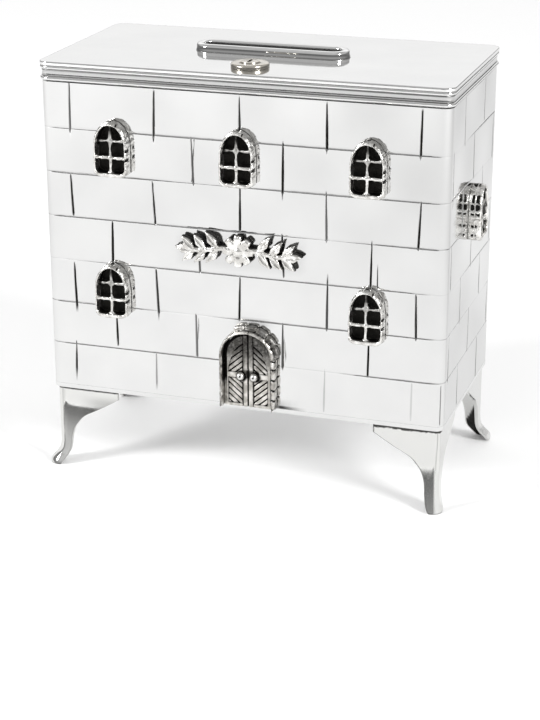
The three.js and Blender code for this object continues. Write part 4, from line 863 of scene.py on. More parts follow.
# Lumps where the bars cross, and where they meet the frame.
for across, up, radius in ((0.0, 4.1, 0.85), (0.02, 8.55, 0.98), (-0.3, 0.0, 0.8), (0.4, -0.1, 0.7),
                           (-3.7, 4.1, 0.7), (3.7, 4.0, 0.7)):
    shells.append(lump(radius, 0.65, (across, up, 2.4)))
wax = Casting(*as_one(shells, WAX_GRAIN))
wax.soften(2)


def in_opening(points):
    """How far each point lies inside the opening's outline."""
    across, up = np.abs(points[:, 0]), points[:, 1]
    above = np.maximum(up - OPENING_SPRING, 0)
    arch = 1 - np.sqrt((across / OPENING_HALF) ** 2 + (above / OPENING_RISE) ** 2)
    return np.minimum(arch * OPENING_HALF, up)


def finished_window(seed):
    """One casting with its own flaws and its own black, and painted shade in the opening and at the wall."""
    one = Casting(wax.points, wax.faces, wax.edges)
    luck = np.random.default_rng(seed)
    one.roughen(0.04, 1.8, seed)
    one.roughen(0.014, 0.6, seed + 50)
    crease = one.hollows()
    across, up, forward = one.points.T
    within = in_opening(one.points)
    inside, beyond = fade(within, -0.12, 0.25), -within
    flank = fade(beyond, 0.1, 0.3) * fade(3.35 - forward, 0.0, 0.15)

    # Short cuts between the stones: thin ones on the right flank and broad ones on the left, and two
    # beside the opening.
    thin, broad, beside = [], [], []
    for joint in np.arange(1.9, 10.5, 1.6):
        off = np.abs(up - joint - 0.35 * (3.3 - forward) / 2)
        on_right = fade(forward, 1.3, 1.8) * (across > 0)
        thin.append(luck.uniform(0.2, 0.6) * fade(0.24 - off, 0.0, 0.14) * on_right)
    for low, high, near, far in ((0.4, 1.1, 0.7, 2.2), (2.7, 3.5, 0.7, 2.4), (6.0, 6.7, 0.5, 3.0),
                                 (7.4, 8.9, 0.4, 3.0), (9.3, 11.3, 0.6, 2.9), (13.2, 13.7, 0.3, 2.2)):
        wavy = 0.12 * np.sin(forward * 5 + up * 2 + seed)
        patch = fade(up, low - 0.1 + wavy, low + 0.1 + wavy) * fade(high - up + wavy, -0.1, 0.1)
        patch = patch * fade(forward, near - 0.1, near + 0.15) * fade(far - forward, -0.1, 0.15)
        ledge = 1 - 0.85 * fade(0.2 - np.abs(forward - 1.6 - 0.1 * wavy), 0.0, 0.1)
        broad.append(patch * ledge * (across < 0.3))
    for joint in (3.6, 6.0):
        off = np.abs(up - joint - 0.25 * (across - OPENING_HALF))
        past_edge = fade(across, OPENING_HALF, OPENING_HALF + 0.14)
        beside.append(fade(0.46 - off, 0.0, 0.12) * fade(forward, 0.9, 1.4) * past_edge)
    cut = np.maximum.reduce([np.maximum.reduce(thin + broad) * flank, *beside])
    one.push(-0.24 * cut)

    recess = inside * fade(2.7 + 0.4 * fade(up, 8.9, 11.0) - forward, 0.0, 0.55)
    rim = fade(0.36 - beyond, 0.0, 0.2) * fade(2.9 - forward, 0.0, 0.25)
    rim *= fade(2.45 - np.abs(across), -1.6, -0.9)
    low_front = fade(3.1 - forward, 0.0, 0.3)
    # Painted shade under the arch's head and in the opening's upper left.
    under_arch = inside * 0.75 * fade(up, 9.2, 10.8) * low_front
    upper_left = inside * 0.85 * fade(-across, 1.6, 3.2) * fade(up, 7.4, 8.0) * low_front
    # Painted shade along the seam with the wall, most on the right, and higher up in the opening.
    seam = flank * fade(0.6 - forward, 0.0, 0.35) * np.where(across > 0, 0.7, 0.15)
    haze = inside * (0.26 * fade(up, 4.4, 5.2) + 0.14 * fade(up, 7.4, 8.2))
    # Painted shade on top of the head, darker towards the right.
    over_head = fade(up, 11.5, 13.0) * fade(3.3 - forward, 0.2, 0.9) * fade(across, -2.5, 2.5)
    over_head *= 0.14 * (1 - inside)
    blacks = [recess, rim, under_arch, upper_left, np.clip(crease * 40, 0, 0.85), cut, seam, haze, over_head]
    round_head = np.degrees(np.arctan2((up - OPENING_SPRING) / OPENING_RISE, across / OPENING_HALF))
    for turn, dark in ((20, 0.45), (41, 0.6), (62.5, 1.0), (86, 0.35), (113, 0.4), (137, 0.55), (160, 0.4)):
        turn += luck.uniform(-3, 3)
        notch = fade(3.4 - np.abs(round_head - turn - 4 * beyond), 0.0, 1.6) * fade(beyond, 0.12, 0.3)
        blacks.append(dark * notch * fade(forward, 2.2, 2.5))
    one.soot = np.clip(np.maximum.reduce(blacks), 0, 1)
    return one


def on_wall(points, wall, along, foot):
    """Points across, up and forward of a wall, put on that wall."""
    across, up, forward = points.T
    if wall == "front":
        placed = (along + across, -DEPTH / 2 - forward, foot + up)
    elif wall == "back":
        placed = (along - across, DEPTH / 2 + forward, foot + up)
    elif wall == "right":
        placed = (WIDTH / 2 + forward, along + across, foot + up)
    else:
        placed = (-WIDTH / 2 - forward, along - across, foot + up)
    return np.stack(placed, 1)


def held_in(node, points):
    """Points in millimetres, held inside the box of a CAD node."""
    low, high = (np.array(corner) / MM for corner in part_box(node))
    return np.clip(points, low, high)


WINDOWS = [
    ("window_upper_left", "front", -34.5, 86.05), ("window_upper_middle", "front", 0.0, 86.05),
    ("window_upper_right", "front", 34.5, 86.05), ("window_lower_left", "front", -35.5, 47.25),
    ("window_lower_right", "front", 34.7, 47.25), ("window_side_right", "right", 0.0, 69.34),
    ("window_side_left", "left", 0.0, 69.34), ("window_back_left", "back", -34.5, 86.05),
    ("window_back_middle", "back", 0.0, 86.05), ("window_back_right", "back", 34.5, 86.05),
]
for seed, (name, wall, along, foot) in enumerate(WINDOWS, 100):
    one = finished_window(seed)
    points = held_in(name, on_wall(one.points, wall, along, foot))
    put("cast_" + name, "box", "cast_silver", cast_silver, points, one.faces, stands_for=[name], smooth=180,
        levels={"soot": one.soot})

# The door surround: one casting of small stones round the doorway, with a second row of stones
# behind it over the arch. It is oxidised black, rubbed on the stones, and soldered to the wall.
DOOR_MIDDLE, DOOR_HALF, DOOR_SPRING, DOOR_RISE = 2.3, 6.7, 14.5, 6.4


def doorway(grow):
    """The doorway from its foot on the left, over the arch, to its foot on the right."""
    sides = [(-DOOR_HALF - grow, v) for v in np.linspace(0, DOOR_SPRING, 16)[:-1]]
    head = [((DOOR_HALF + grow) * -math.cos(t), DOOR_SPRING + (DOOR_RISE + grow) * math.sin(t))
            for t in np.linspace(0, math.pi, 50)]
    return np.array(sides + head + [(-x, v) for x, v in sides[::-1]])


# The bar round the doorway, by its section of outward and forward.
bar_section = [(-0.02, 0.0), (-0.02, 1.5), (0.2, 3.1), (0.3, 3.36), (0.58, 3.36), (0.74, 3.1), (0.85, 1.6),
               (0.95, 0.6), (0.95, 0.0)]
shells = [tube(np.stack([at_level(doorway(out), forward) for out, forward in bar_section], 1))]
# The front row of the arch's stones and the row behind it: where they start and end in degrees, how
# far outside the doorway they lie to the side and above, how far forward, and their size and luck.
for start, end, aside, above, forward, size, size_jitter, turn_jitter, seed in (
        (94, 14, 0.5, 0.5, 1.75, (2.3, 1.0, 2.9), 0.05, 0.05, 5),
        (107, 13, 1.15, 1.25, 1.0, (3.15, 1.6, 2.2), 0.06, 0.09, 8)):
    path = [((DOOR_HALF + aside) * math.cos(t), DOOR_SPRING + (DOOR_RISE + above) * math.sin(t), forward)
            for t in np.linspace(math.radians(start), math.radians(end), 60)]
    shells.append(set_along(path, stone, 5, size, size_jitter, turn_jitter, seed, cast_silver))
for side, reach, thick, seed in ((-1, 0.3, 0.8, 31), (1, 0.62, 1.0, 32)):
    jamb = [(side * (DOOR_HALF + reach), v, 1.5) for v in (1.3, 5.0, 9.0, 13.0)]
    shells.append(set_along(jamb, stone, 5, (2.75, thick, 3.1), 0.04, 0.03, seed, cast_silver))
surround = Casting(*as_one(shells, 0.16))
surround.soften(2)
surround.roughen(0.035, 1.6, 61)
surround.roughen(0.03, 0.6, 62)
across, up, forward = surround.points.T
flank = fade(across, DOOR_HALF, DOOR_HALF + 0.15)
dips = [joint - 0.55 * (1 - ((forward - 1.7) / 1.5) ** 2) for joint in (0.6, 3.3, 6.1, 9.0, 11.9, 14.3)]
scallop = np.maximum.reduce([fade(0.34 - np.abs(up - dip), 0.0, 0.2) for dip in dips]) * flank
surround.push(-0.3 * scallop)
for turn, cut in ((88, 0.35), (57, 0.5), (40, 0.4), (124, 0.2)):
    ends = []
    for out, slip, level in ((-0.1, 0.0, 3.4), (1.0, 0.06, 2.7)):
        t = math.radians(turn) - slip
        ends.append(((DOOR_HALF + out) * math.cos(t), DOOR_SPRING + (DOOR_RISE + out) * math.sin(t), level))
    surround.groove(*ends, 0.2, cut)
crease = surround.hollows(2)
across, up, forward = surround.points.T
above = np.maximum(up - DOOR_SPRING, 0)
within = (1 - np.sqrt((across / DOOR_HALF) ** 2 + (above / DOOR_RISE) ** 2)) * DOOR_HALF
# Painted shade in the doorway's reveal, most on the left, and on the arch's stones, darker to the right.
side_black = fade(up, 5.0, 9.0) * (across < 0) + (across >= 0) * fade(up, 15.5, 17.5) * 0.9 + 0.2
reveal = fade(within, -0.25, 0.0) * fade(3.2 - forward, 0.0, 0.5) * np.clip(side_black, 0, 1)
stones = fade(up, 14.0, 16.0) * fade(3.25 - forward, 0.1, 0.7) * fade(within, -0.2, -0.5)
stones *= (0.46 + 0.26 * fade(forward, 1.6, 2.4)) * fade(across, -3.5, 0.5)
right_jamb = fade(across, DOOR_HALF - 0.1, DOOR_HALF + 0.1)
right_jamb *= 1 - fade(across, DOOR_HALF + 0.5, DOOR_HALF + 0.7)
right_jamb *= fade(14.0 - up, 0.0, 2.0) * (0.34 + 0.14 * np.sin(up * 2.9) * np.sin(up * 1.3 + 1.0))
left_jamb = fade(-across, DOOR_HALF + 0.1, DOOR_HALF + 0.35) * (0.4 + 0.15 * np.sin(up * 2.3))
# Painted shade along the seam with the wall, on the right side.
seam = 0.85 * fade(0.55 - forward, 0.0, 0.4) * (across > 0)
black = np.maximum.reduce([
    surround.soot, reveal, np.clip(crease * 46, 0, 0.97), stones, right_jamb, scallop, left_jamb, seam,
])
stone_silver = cast_metal("cast sterling, oxidised and rubbed on the stones", "#dddbd7", "#a8a5a0",
                          "#191817", 0.31)
put("stone_door_surround", "box", "oxidised_silver", stone_silver,
    held_in("door_surround", on_wall(surround.points, "front", DOOR_MIDDLE, WALL_FOOT)), surround.faces,
    stands_for=["door_surround"], smooth=180, levels={"soot": np.clip(black, 0, 1)})

# The door leaves: one casting in low relief, with stiles, a middle rail and slanting planks. The
# oxide is left grey all over it and black between the planks.
LEAF_GAP, LEAF_FRONT = 0.2, 1.5
LEAF_HALF, LEAF_RISE = DOOR_HALF - LEAF_GAP, DOOR_RISE - LEAF_GAP
RAIL_AT, RAIL_HALF = 8.75, 0.7
PLANK, PLANK_SLANT = 1.22, math.radians(40)
columns = np.linspace(-LEAF_HALF, LEAF_HALF, 141)
rows = np.linspace(0.0, 1.0, 221)
# U is across the leaves from their middle, and V up from the doorstep.
U, share = np.meshgrid(columns, rows)
V = share * (DOOR_SPRING + LEAF_RISE * np.sqrt(np.clip(1 - (columns / LEAF_HALF) ** 2, 0, 1)))
mirror = np.abs(U)
above = np.maximum(V - DOOR_SPRING, 0)
edge = (1 - np.sqrt((mirror / LEAF_HALF) ** 2 + (above / LEAF_RISE) ** 2)) * LEAF_HALF
edge = np.minimum(edge, LEAF_HALF - mirror)
panel = np.minimum.reduce([
    edge - 0.95 - 1.9 * fade(V, 10.0, 17.5), mirror - 1.5, np.abs(V - RAIL_AT) - RAIL_HALF, V - 0.7,
])
sunk = fade(panel, 0.0, 0.16)
side_step = np.where(V > RAIL_AT, -1, 1) * (3.4 - mirror) * math.sin(PLANK_SLANT)
phase = V * math.cos(PLANK_SLANT) + side_step + np.where(U > 0, 0.35, 0.0)
plank = np.abs((phase / PLANK) % 1.0 - 0.5) * 2
gap = fade(plank, 0.6, 0.88) * sunk
crown = (1 - plank ** 2) * 0.12 * sunk
meeting = np.maximum(fade(0.27 - mirror, 0.0, 0.16), 0.75 * fade(0.2 - np.abs(mirror - 1.42), 0.0, 0.16))
bead = np.exp(-((mirror - 0.75) / 0.22) ** 2) * 0.16
border = np.exp(-((edge - 0.75) / 0.2) ** 2) * 0.14 * (1 - sunk)
luck = np.random.default_rng(12)
texture = sum(np.sin(U * a + V * b + c) for a, b, c in luck.normal(0, 4.2, (16, 3))) / 16
relief = LEAF_FRONT - 0.16 - 0.3 * sunk + crown - 0.34 * gap - 0.5 * meeting + bead + border + 0.035 * texture
relief = np.minimum(relief, LEAF_FRONT - 0.01)

# Painted shade beside the surround, wider on the left.
side_black = np.where(U < 0, (0.35 + 0.65 * fade(V, 5.0, 9.0)), 1.0)
beside_frame = 0.9 * side_black * fade(np.where(U < 0, 0.9, 0.45) - edge, 0.0, 0.3) * (V > 1.0)
arch_line = 0.7 * np.exp(-((edge - 1.25) / 0.16) ** 2) * fade(V, 12.0, 15.5)
upward = 0.64 * fade(V, 8.0, 17.0) + 0.06
# A painted shadow below each knob.
round_knobs = 0.85 * fade(2.0 - np.hypot(U - np.where(U > 0, 2.0, -1.8), V - 8.6), 0.0, 0.8)
between_knobs = 0.8 * np.exp(-(U / 1.9) ** 2 - (np.maximum(np.abs(V - 9.2) - 0.6, 0) / 0.9) ** 2)
upper_stiles = 0.68 * fade(2.0 - mirror, 0.0, 0.8) * fade(V, 11.0, 16.0)
grooves = np.clip(gap + meeting + 0.55 * fade(0.35 - np.abs(panel - 0.12), 0.0, 0.3), 0, 1)
dark = np.maximum.reduce([grooves, beside_frame, arch_line, upward, round_knobs, between_knobs, upper_stiles])

# The relief is a grid. A rim of quads joins its border to the flat back.
grid = np.stack([U, V, relief], -1).reshape(-1, 3)
wide, tall = len(columns), len(rows)
faces = [(r * wide + c, r * wide + c + 1, (r + 1) * wide + c + 1, (r + 1) * wide + c)
         for r in range(tall - 1) for c in range(wide - 1)]
rim = [*range(wide), *(r * wide + wide - 1 for r in range(1, tall)),
       *((tall - 1) * wide + c for c in range(wide - 2, -1, -1)), *(r * wide for r in range(tall - 2, 0, -1))]
behind = len(grid) + np.arange(len(rim) + 1) % len(rim)
faces += [(rim[i], rim[(i + 1) % len(rim)], int(behind[i + 1]), int(behind[i])) for i in range(len(rim))]
faces.append(tuple(map(int, behind[:-1])))
leaf_silver = cast_metal("cast sterling, oxidised grey", "#dcd9d4", "#aaa7a1", "#161514", 0.31)
put("planked_door_leaves", "box", "oxidised_silver", leaf_silver,
    on_wall(np.vstack([grid, at_level(grid[rim][:, :2], 0.0)]), "front", DOOR_MIDDLE, WALL_FOOT), faces,
    stands_for=["door_leaves"], smooth=180,
    levels={"soot": np.concatenate([dark.ravel(), np.ones(len(rim))])})

# The door knobs: two polished silver balls, each pegged and soldered through its leaf, with a small
# dark dot near the middle of the front, and painted shade over the back of each ball, next to its leaf.
KNOB_RADIUS, KNOB_FLAT = 1.05, 0.97
KNOB_ASIDE, KNOB_UP, KNOB_FORWARD = 1.85, 8.85, 2.2


def circles(profile, steps):
    """Level rings of points for a turned piece, one for each radius and level of its profile."""
    turn = full_turn(steps)
    unit = np.stack([np.cos(turn), np.sin(turn)], 1)
    return np.array([at_level(radius * unit, level) for radius, level in profile])


knob_silver = silver_sheet("turned sterling knob, worn by touch", "#e4e3df", 0.32)
ball = [(KNOB_RADIUS * math.sin(t), KNOB_FLAT * math.cos(t)) for t in np.linspace(0.09, 2.6, 30)]
for name, across in (("door_knob_left", -KNOB_ASIDE), ("door_knob_right", KNOB_ASIDE)):
    points, faces = tube(circles(ball + [(0.4, -1.0)], 40) + (across, KNOB_UP, KNOB_FORWARD))
    forward = points[:, 2]
    from_dot = np.hypot(points[:, 0] - across - 0.1, points[:, 1] - 9.0)
    # A dark dot near the front's middle, and painted shade over the ball's back, next to the leaf.
    dot = fade(0.4 - from_dot, 0.0, 0.2) * (forward > 2.5)
    put("ball_" + name, "box", "polished_silver", knob_silver,
        on_wall(points, "front", DOOR_MIDDLE, WALL_FOOT), faces, stands_for=[name], smooth=60,
        levels={"soot": 0.9 * np.maximum(dot, fade(2.0 - forward, 0.1, 0.7))})

# The olive spray: a stem with paired leaves and a rosette in the middle, pierced from thick silver
# sheet, filed round, polished on the face and left dark in the creases, and soldered over the door.
SPRAY_UP, SPRAY_FRONT = 43.2, 2.95
STEM_FROM, STEM_TO = 3.4, 15.4
leaf_shape = bmesh.new()
bmesh.ops.create_uvsphere(leaf_shape, u_segments=14, v_segments=9, radius=0.5)
for corner in leaf_shape.verts:
    x, y, z = corner.co
    narrow = (0.5 - abs(x)) ** (0.35 if x < 0 else 0.75)
    corner.co = (x, y * min(1.0, narrow * 1.25), z)
olive_leaf, leaf_faces = taken_from(leaf_shape)


def stem_up(distance):
    """How high the stem runs at a distance from the spray's middle."""
    return 0.5 * math.sin(distance * 0.42)


def leaf_at(side, distance, angle, length, width):
    """One leaf from its foot on the stem, in across, up, forward."""
    x, y, z = olive_leaf.T
    angle = math.radians(angle)
    along, across = (x + 0.5) * length, y * width * 1.25
    crease = -0.3 * np.exp(-(across / 0.22) ** 2) * (z > 0)
    forward = 1.3 + np.clip(z / 0.26, -1, 1) * 1.4 * (1 - 0.12 * (2 * x) ** 2) + crease
    aside = side * (distance + along * math.cos(angle) - across * math.sin(angle))
    up = stem_up(distance) + along * math.sin(angle) + across * math.cos(angle)
    return np.stack([aside, up, forward], 1), leaf_faces


shells = []
for side in (-1, 1):
    stem = [(side * v, stem_up(v), 1.35) for v in np.linspace(STEM_FROM, STEM_TO, 60)]
    shells.append(set_along(stem, stone, 26, (0.95, 1.25, 2.4), 0.04, 0.05, 71 + side, cast_silver))
    for pair in range(3):
        for up_or_down in (1, -1):
            angle, length = up_or_down * (50 - 3 * pair), 5.9 - 0.35 * pair
            shells.append(leaf_at(side, 5.3 + 3.3 * pair, angle, length, 2.3))
    shells.append(leaf_at(side, 12.6, 4, 5.1, 2.4))
petals = [(2.65 * math.cos(t), 2.65 * math.sin(t), 1.35) for t in np.linspace(0, 2 * math.pi * 7 / 8, 57)]
shells.append(set_along(petals, stone, 8, (2.2, 3.3, 2.4), 0.03, 0.04, 77, cast_silver))
shells.append(lump(1.6, 0.95, (0.0, 0.0, 1.3)))
spray = Casting(*as_one(shells, WAX_GRAIN))
spray.soften(1)
spray.roughen(0.02, 1.6, 81)
crease = spray.hollows()
spray.points[:, 2] = np.clip(spray.points[:, 2], 0.0, SPRAY_FRONT)
# Oxide stays in the creases, and everything set back behind the front faces is painted in shade.
soot = np.maximum(np.clip(crease * 30, 0, 0.9), fade(2.25 - spray.points[:, 2], 0.0, 0.5) * 0.78)
put("applied_olive_spray", "box", "polished_silver", cast_silver,
    held_in("olive_spray", on_wall(spray.points, "front", 0.0, WALL_FOOT + SPRAY_UP)), spray.faces,
    stands_for=["olive_spray"], smooth=180, levels={"soot": soot})

# The lid's flange: a ring of silver strip soldered inside the band. It drops inside the walls and
# keeps the lid in its place.
PLATE_FOOT, PLATE_TOP = 112.8, 113.8
FLANGE_FOOT, FLANGE_OUTER, FLANGE_INNER, FLANGE_EASE = 104.8, -1.5, -2.3, 0.12
LID_STEPS = 10
part_ease = FLANGE_EASE * 0.3
flange_section = [
    (FLANGE_OUTER - FLANGE_EASE, FLANGE_FOOT), (FLANGE_OUTER - part_ease, FLANGE_FOOT + part_ease),
    (FLANGE_OUTER, FLANGE_FOOT + FLANGE_EASE), (FLANGE_OUTER, PLATE_FOOT - FLANGE_EASE),
    (FLANGE_OUTER - part_ease, PLATE_FOOT - part_ease), (FLANGE_OUTER - FLANGE_EASE, PLATE_FOOT),
    (FLANGE_INNER + FLANGE_EASE, PLATE_FOOT), (FLANGE_INNER, PLATE_FOOT - FLANGE_EASE),
    (FLANGE_INNER, FLANGE_FOOT + FLANGE_EASE), (FLANGE_INNER + FLANGE_EASE, FLANGE_FOOT),
]
put("flange_ring", "lid", "polished_silver", sheet_silver,
    *tube(round_the_box(flange_section, LID_STEPS), joined=True), stands_for=["lid_flange"], smooth=50)

# The lid's band: a drawn moulding with a bead above and below a hollow, mitred at the corners and
# soldered under the plate. Its hollow keeps a little of the oxide.
LID_OUTER, LID_FOOT = 0.5, 108.8
BEAD, LOW_BEAD, HIGH_BEAD = 0.55, 109.35, 112.25
HOLLOW_FOOT, HOLLOW_TALL = 109.95, 1.7


def bead_at(level):
    """Half a round bead of the band's section, as offset and level."""
    return [(LID_OUTER - BEAD + BEAD * math.cos(t), level + BEAD * math.sin(t))
            for t in np.linspace(-math.pi / 2, math.pi / 2, 9)]


hollow = [(LID_OUTER - 0.42 - 0.1 * math.sin(math.pi * v), HOLLOW_FOOT + HOLLOW_TALL * v)
          for v in np.linspace(0.08, 0.92, 7)]
band_section = [*bead_at(LOW_BEAD), *hollow, *bead_at(HIGH_BEAD), (-1.0, PLATE_FOOT), (-1.0, LID_FOOT)]
points, faces = tube(round_the_box(band_section, LID_STEPS), joined=True)
ring = np.repeat(np.arange(len(band_section)), len(points) // len(band_section))
off_middle = np.abs(points[:, 2] - HOLLOW_FOOT - HOLLOW_TALL / 2)
in_hollow = (ring >= 8) & (ring <= 17)
beside_bead = np.isin(ring, (8, 9, 15, 16))
soot = np.maximum(0.3 * in_hollow * fade(off_middle, 0.95, 0.55), 0.7 * beside_bead)
put("moulded_band", "lid", "polished_silver", sheet_silver, points, faces, stands_for=["lid_band"], smooth=50,
    levels={"soot": soot})

# The lid's plate: 1 mm sterling sheet with an eased edge, pierced for the coins and the lock. Two
# level rings inside the edge keep its top shaded flat.
SLOT_LENGTH, SLOT_WIDTH = 38.0, 5.0
LOCK_Y, LOCK_HOLE = -18.5, 3.8
PLATE_EASE = 0.35


def capsule(length, width, steps=12):
    """The outline of a slot with round ends, anticlockwise from the front's right end."""
    r, x = width / 2, length / 2 - width / 2
    return np.vstack([arc((x, 0), r, -90, 90, steps), arc((-x, 0), r, 90, 270, steps)])


def upright_faces(shape, rings):
    """Adds the faces between rings of points to a shape, and gives its corners, ring by ring."""
    loops = [[shape.verts.new(point) for point in ring] for ring in rings]
    for low, high in zip(loops, loops[1:]):
        for i in range(len(low)):
            j = (i + 1) % len(low)
            shape.faces.new((low[i], low[j], high[j], high[i]))
    return loops


def flat_face(shape, *loops):
    """Fills the level face inside the first loop of corners and outside the others."""
    edges = []
    for loop in loops:
        for pair in zip(loop, loop[1:] + loop[:1]):
            edges.append(shape.edges.get(pair) or shape.edges.new(pair))
    bmesh.ops.triangle_fill(shape, use_beauty=True, use_dissolve=False, edges=edges)


plate_edge = [(0.42, PLATE_FOOT), (LID_OUTER, PLATE_FOOT + 0.08)]
plate_edge += arc((LID_OUTER - PLATE_EASE, PLATE_TOP - PLATE_EASE), PLATE_EASE, 0, 90, 6).tolist()
plate_edge += [(-0.1, PLATE_TOP), (-0.6, PLATE_TOP)]
lock_hole = arc((0, LOCK_Y), LOCK_HOLE, 0, 360, 48)[:-1]
shape = bmesh.new()
outer_loops = upright_faces(shape, round_the_box(plate_edge, LID_STEPS))
hole_loops = [upright_faces(shape, [at_level(hole, level) for level in (PLATE_FOOT, PLATE_TOP)])
              for hole in (capsule(SLOT_LENGTH, SLOT_WIDTH), lock_hole)]
for end in (0, -1):
    flat_face(shape, outer_loops[end], *(loops[end] for loops in hole_loops))
put("lid_top_sheet", "lid", "polished_silver", sheet_silver, *taken_from(shape), stands_for=["lid_plate"],
    smooth=30)

# The slot's collar: a cast oval ring with a round lip, soldered on the plate, which keeps coins from
# scratching it.
COLLAR_WIDER = 4.4
LIP, INNER_LIP = 0.85, 0.55
outside = capsule(SLOT_LENGTH + COLLAR_WIDER, SLOT_WIDTH + COLLAR_WIDER, 24)
hole = capsule(SLOT_LENGTH, SLOT_WIDTH, 24)
facing = np.vstack([arc((0, 0), 1.0, -90, 90, 24), arc((0, 0), 1.0, 90, 270, 24)])
outer_side = [(0.0, PLATE_TOP), (0.0, 114.0), (-0.12, 114.35), (-0.2, 114.9)]
outer_side += [(-0.2 - LIP + LIP * math.cos(t), 114.95 + LIP * math.sin(t))
               for t in np.linspace(0.1, math.pi / 2, 8)]
inner_side = [(INNER_LIP - INNER_LIP * math.sin(t), 115.25 + INNER_LIP * math.cos(t))
              for t in np.linspace(0.0, math.pi / 2, 7)] + [(0.0, PLATE_TOP)]
rings = [at_level(outside + facing * grow, level) for grow, level in outer_side]
rings += [at_level(hole + facing * grow, level) for grow, level in inner_side]
points, faces = tube(rings, joined=True)
# Its foot, against the plate, is painted dark as contact shade.
put("cast_slot_collar", "lid", "polished_silver", sheet_silver, points, faces, stands_for=["slot_collar"],
    smooth=50, levels={"soot": np.clip(1.2 - (points[:, 2] - PLATE_TOP) / 0.16, 0, 0.75)})

# The hinge: two silver leaves with rolled knuckles on one pin, soldered to the outside of the back
# wall and of the lid's band. Three knuckles belong to the box and two to the lid.
HINGE_Y, HINGE_Z = 29.6, 108.65
KNUCKLE_STEP, STRIP_HALF, LEAF_END = 20.0, 4.8, 25.0
# The order of columns that lays a turned piece's axis along the hinge.
ALONG_X = [2, 0, 1]


def eased_slab(low, high, ease):
    """A plate between two corners with chamfered edges."""
    shape = bmesh.new()
    bmesh.ops.create_cube(shape, size=1.0)
    low, high = np.array(low, float), np.array(high, float)
    for corner in shape.verts:
        corner.co = (low + high) / 2 + np.array(corner.co) * (high - low)
    bmesh.ops.bevel(shape, geom=shape.edges, offset=ease, segments=2, profile=0.7, affect="EDGES")
    return taken_from(shape)


knuckle_section = [(0.7, -4.85), (1.25, -4.85), (1.4, -4.7), (1.4, 4.7), (1.25, 4.85), (0.7, 4.85)]
knuckle_points, knuckle_faces = tube(circles(knuckle_section, 48), joined=True)
knuckle = (knuckle_points[:, ALONG_X], knuckle_faces)
# For each leaf, its body, its first knuckle and their number, and the lower and upper corners, back
# and up, of the leaf and of the strips that join the knuckles to it.
for name, body, first, number, leaf_low, leaf_high, strip_low, strip_high in (
        ("hinge_box_leaf", "box", -20.0, 3, (27.5, 103.5), (28.1, 107.7), (27.6, 107.26), (29.5, 107.95)),
        ("hinge_lid_leaf", "lid", -10.0, 2, (28.0, 109.6), (28.6, 112.2), (28.1, 109.35), (29.5, 110.03))):
    row = [(first + KNUCKLE_STEP * (number - 1) * v, HINGE_Z, HINGE_Y) for v in np.linspace(0, 1, 5)]
    points, faces = set_along(row, knuckle, number, (1.0, 1.0, 1.0), 0.0, 0.0, 1, sheet_silver)
    shells = [eased_slab((-LEAF_END, *leaf_low), (LEAF_END, *leaf_high), 0.12), (points[:, [0, 2, 1]], faces)]
    for middle in first + KNUCKLE_STEP * np.arange(number):
        shells.append(eased_slab((middle - STRIP_HALF, *strip_low), (middle + STRIP_HALF, *strip_high), 0.1))
    points, faces = together(shells)
    # Painted shade where the knuckles meet the leaves.
    grime = fade(1.6 - np.hypot(points[:, 1] - 28.3, points[:, 2] - HINGE_Z), 0.0, 0.9) * 0.5
    put("rolled_" + name, body, "polished_silver", sheet_silver, points, faces, stands_for=[name], smooth=40,
        levels={"soot": grime})
pin_end = [(0.65, 25.3), (1.1, 25.35), (1.1, 25.5), (1.0, 25.7), (0.7, 25.8)]
pin = [(radius, -x) for radius, x in pin_end[::-1]] + pin_end
points, faces = tube(circles(pin, 48))
put("riveted_hinge_pin", "box", "polished_silver", sheet_silver,
    points[:, ALONG_X] + (0.0, HINGE_Y, HINGE_Z), faces, stands_for=["hinge_pin"], smooth=40)

# The lock: a small bought-in cam lock of nickel plated steel. Its threaded housing goes through the
# lid and is held by a nut, and the plug, cam and screw turn in it with the key.
LOCK_AXIS = (0.0, LOCK_Y, 0.0)
THREAD_PITCH, THREAD_TURNS, THREAD_OUTER, THREAD_ROOT = 0.55, 13, 3.5, 3.24
NUT_FLAT = 4.8
PLUG_TOP, KEYWAY_FLOOR = 115.4, 111.4

# Nickel plate over turned steel. It is a warmer and darker grey than silver, with fine rings and
# scratches of about 0.1 mm from the lathe.
nickel, tree = empty_material("nickel plated steel, turned")
place = add(tree, "ShaderNodeTexCoord").outputs["Object"]
from_axis = add(tree, "ShaderNodeVectorMath", {0: place, 1: (0.0, LOCK_Y * MM, 0.0)}, operation="SUBTRACT")
flat = add(tree, "ShaderNodeVectorMath", {0: from_axis.outputs[0], 1: (1.0, 1.0, 0.0)}, operation="MULTIPLY")
radius = add(tree, "ShaderNodeVectorMath", {0: flat.outputs[0]}, operation="LENGTH").outputs["Value"]
lathe = add(tree, "ShaderNodeTexNoise", {"W": radius, "Scale": 9000.0, "Detail": 2.0}, noise_dimensions="1D")
cloud = add(tree, "ShaderNodeTexNoise", {"Vector": place, "Scale": 300.0, "Detail": 3.0})
soot = add(tree, "ShaderNodeAttribute", attribute_name="soot").outputs["Fac"]
metal = add(tree, "ShaderNodeMix", {0: cloud.outputs["Fac"], 6: linear("#cbc7bf"), 7: linear("#b3aea4")},
            data_type="RGBA")
colour = add(tree, "ShaderNodeMix", {0: soot, 6: metal.outputs[2], 7: linear("#141312")}, data_type="RGBA")
rough = add(tree, "ShaderNodeMapRange", {
    0: cloud.outputs["Fac"], 1: 0.3, 2: 0.7, 3: 0.16, 4: 0.28}).outputs[0]
bump = add(tree, "ShaderNodeBump", {"Height": lathe.outputs[0], "Distance": 0.00002, "Strength": 0.5})
surface = add(tree, "ShaderNodeBsdfPrincipled", {
    "Base Color": colour.outputs[2], "Roughness": rough, "Metallic": 1.0, "Normal": bump.outputs[0]})
add(tree, "ShaderNodeOutputMaterial", {"Surface": surface.outputs[0]})

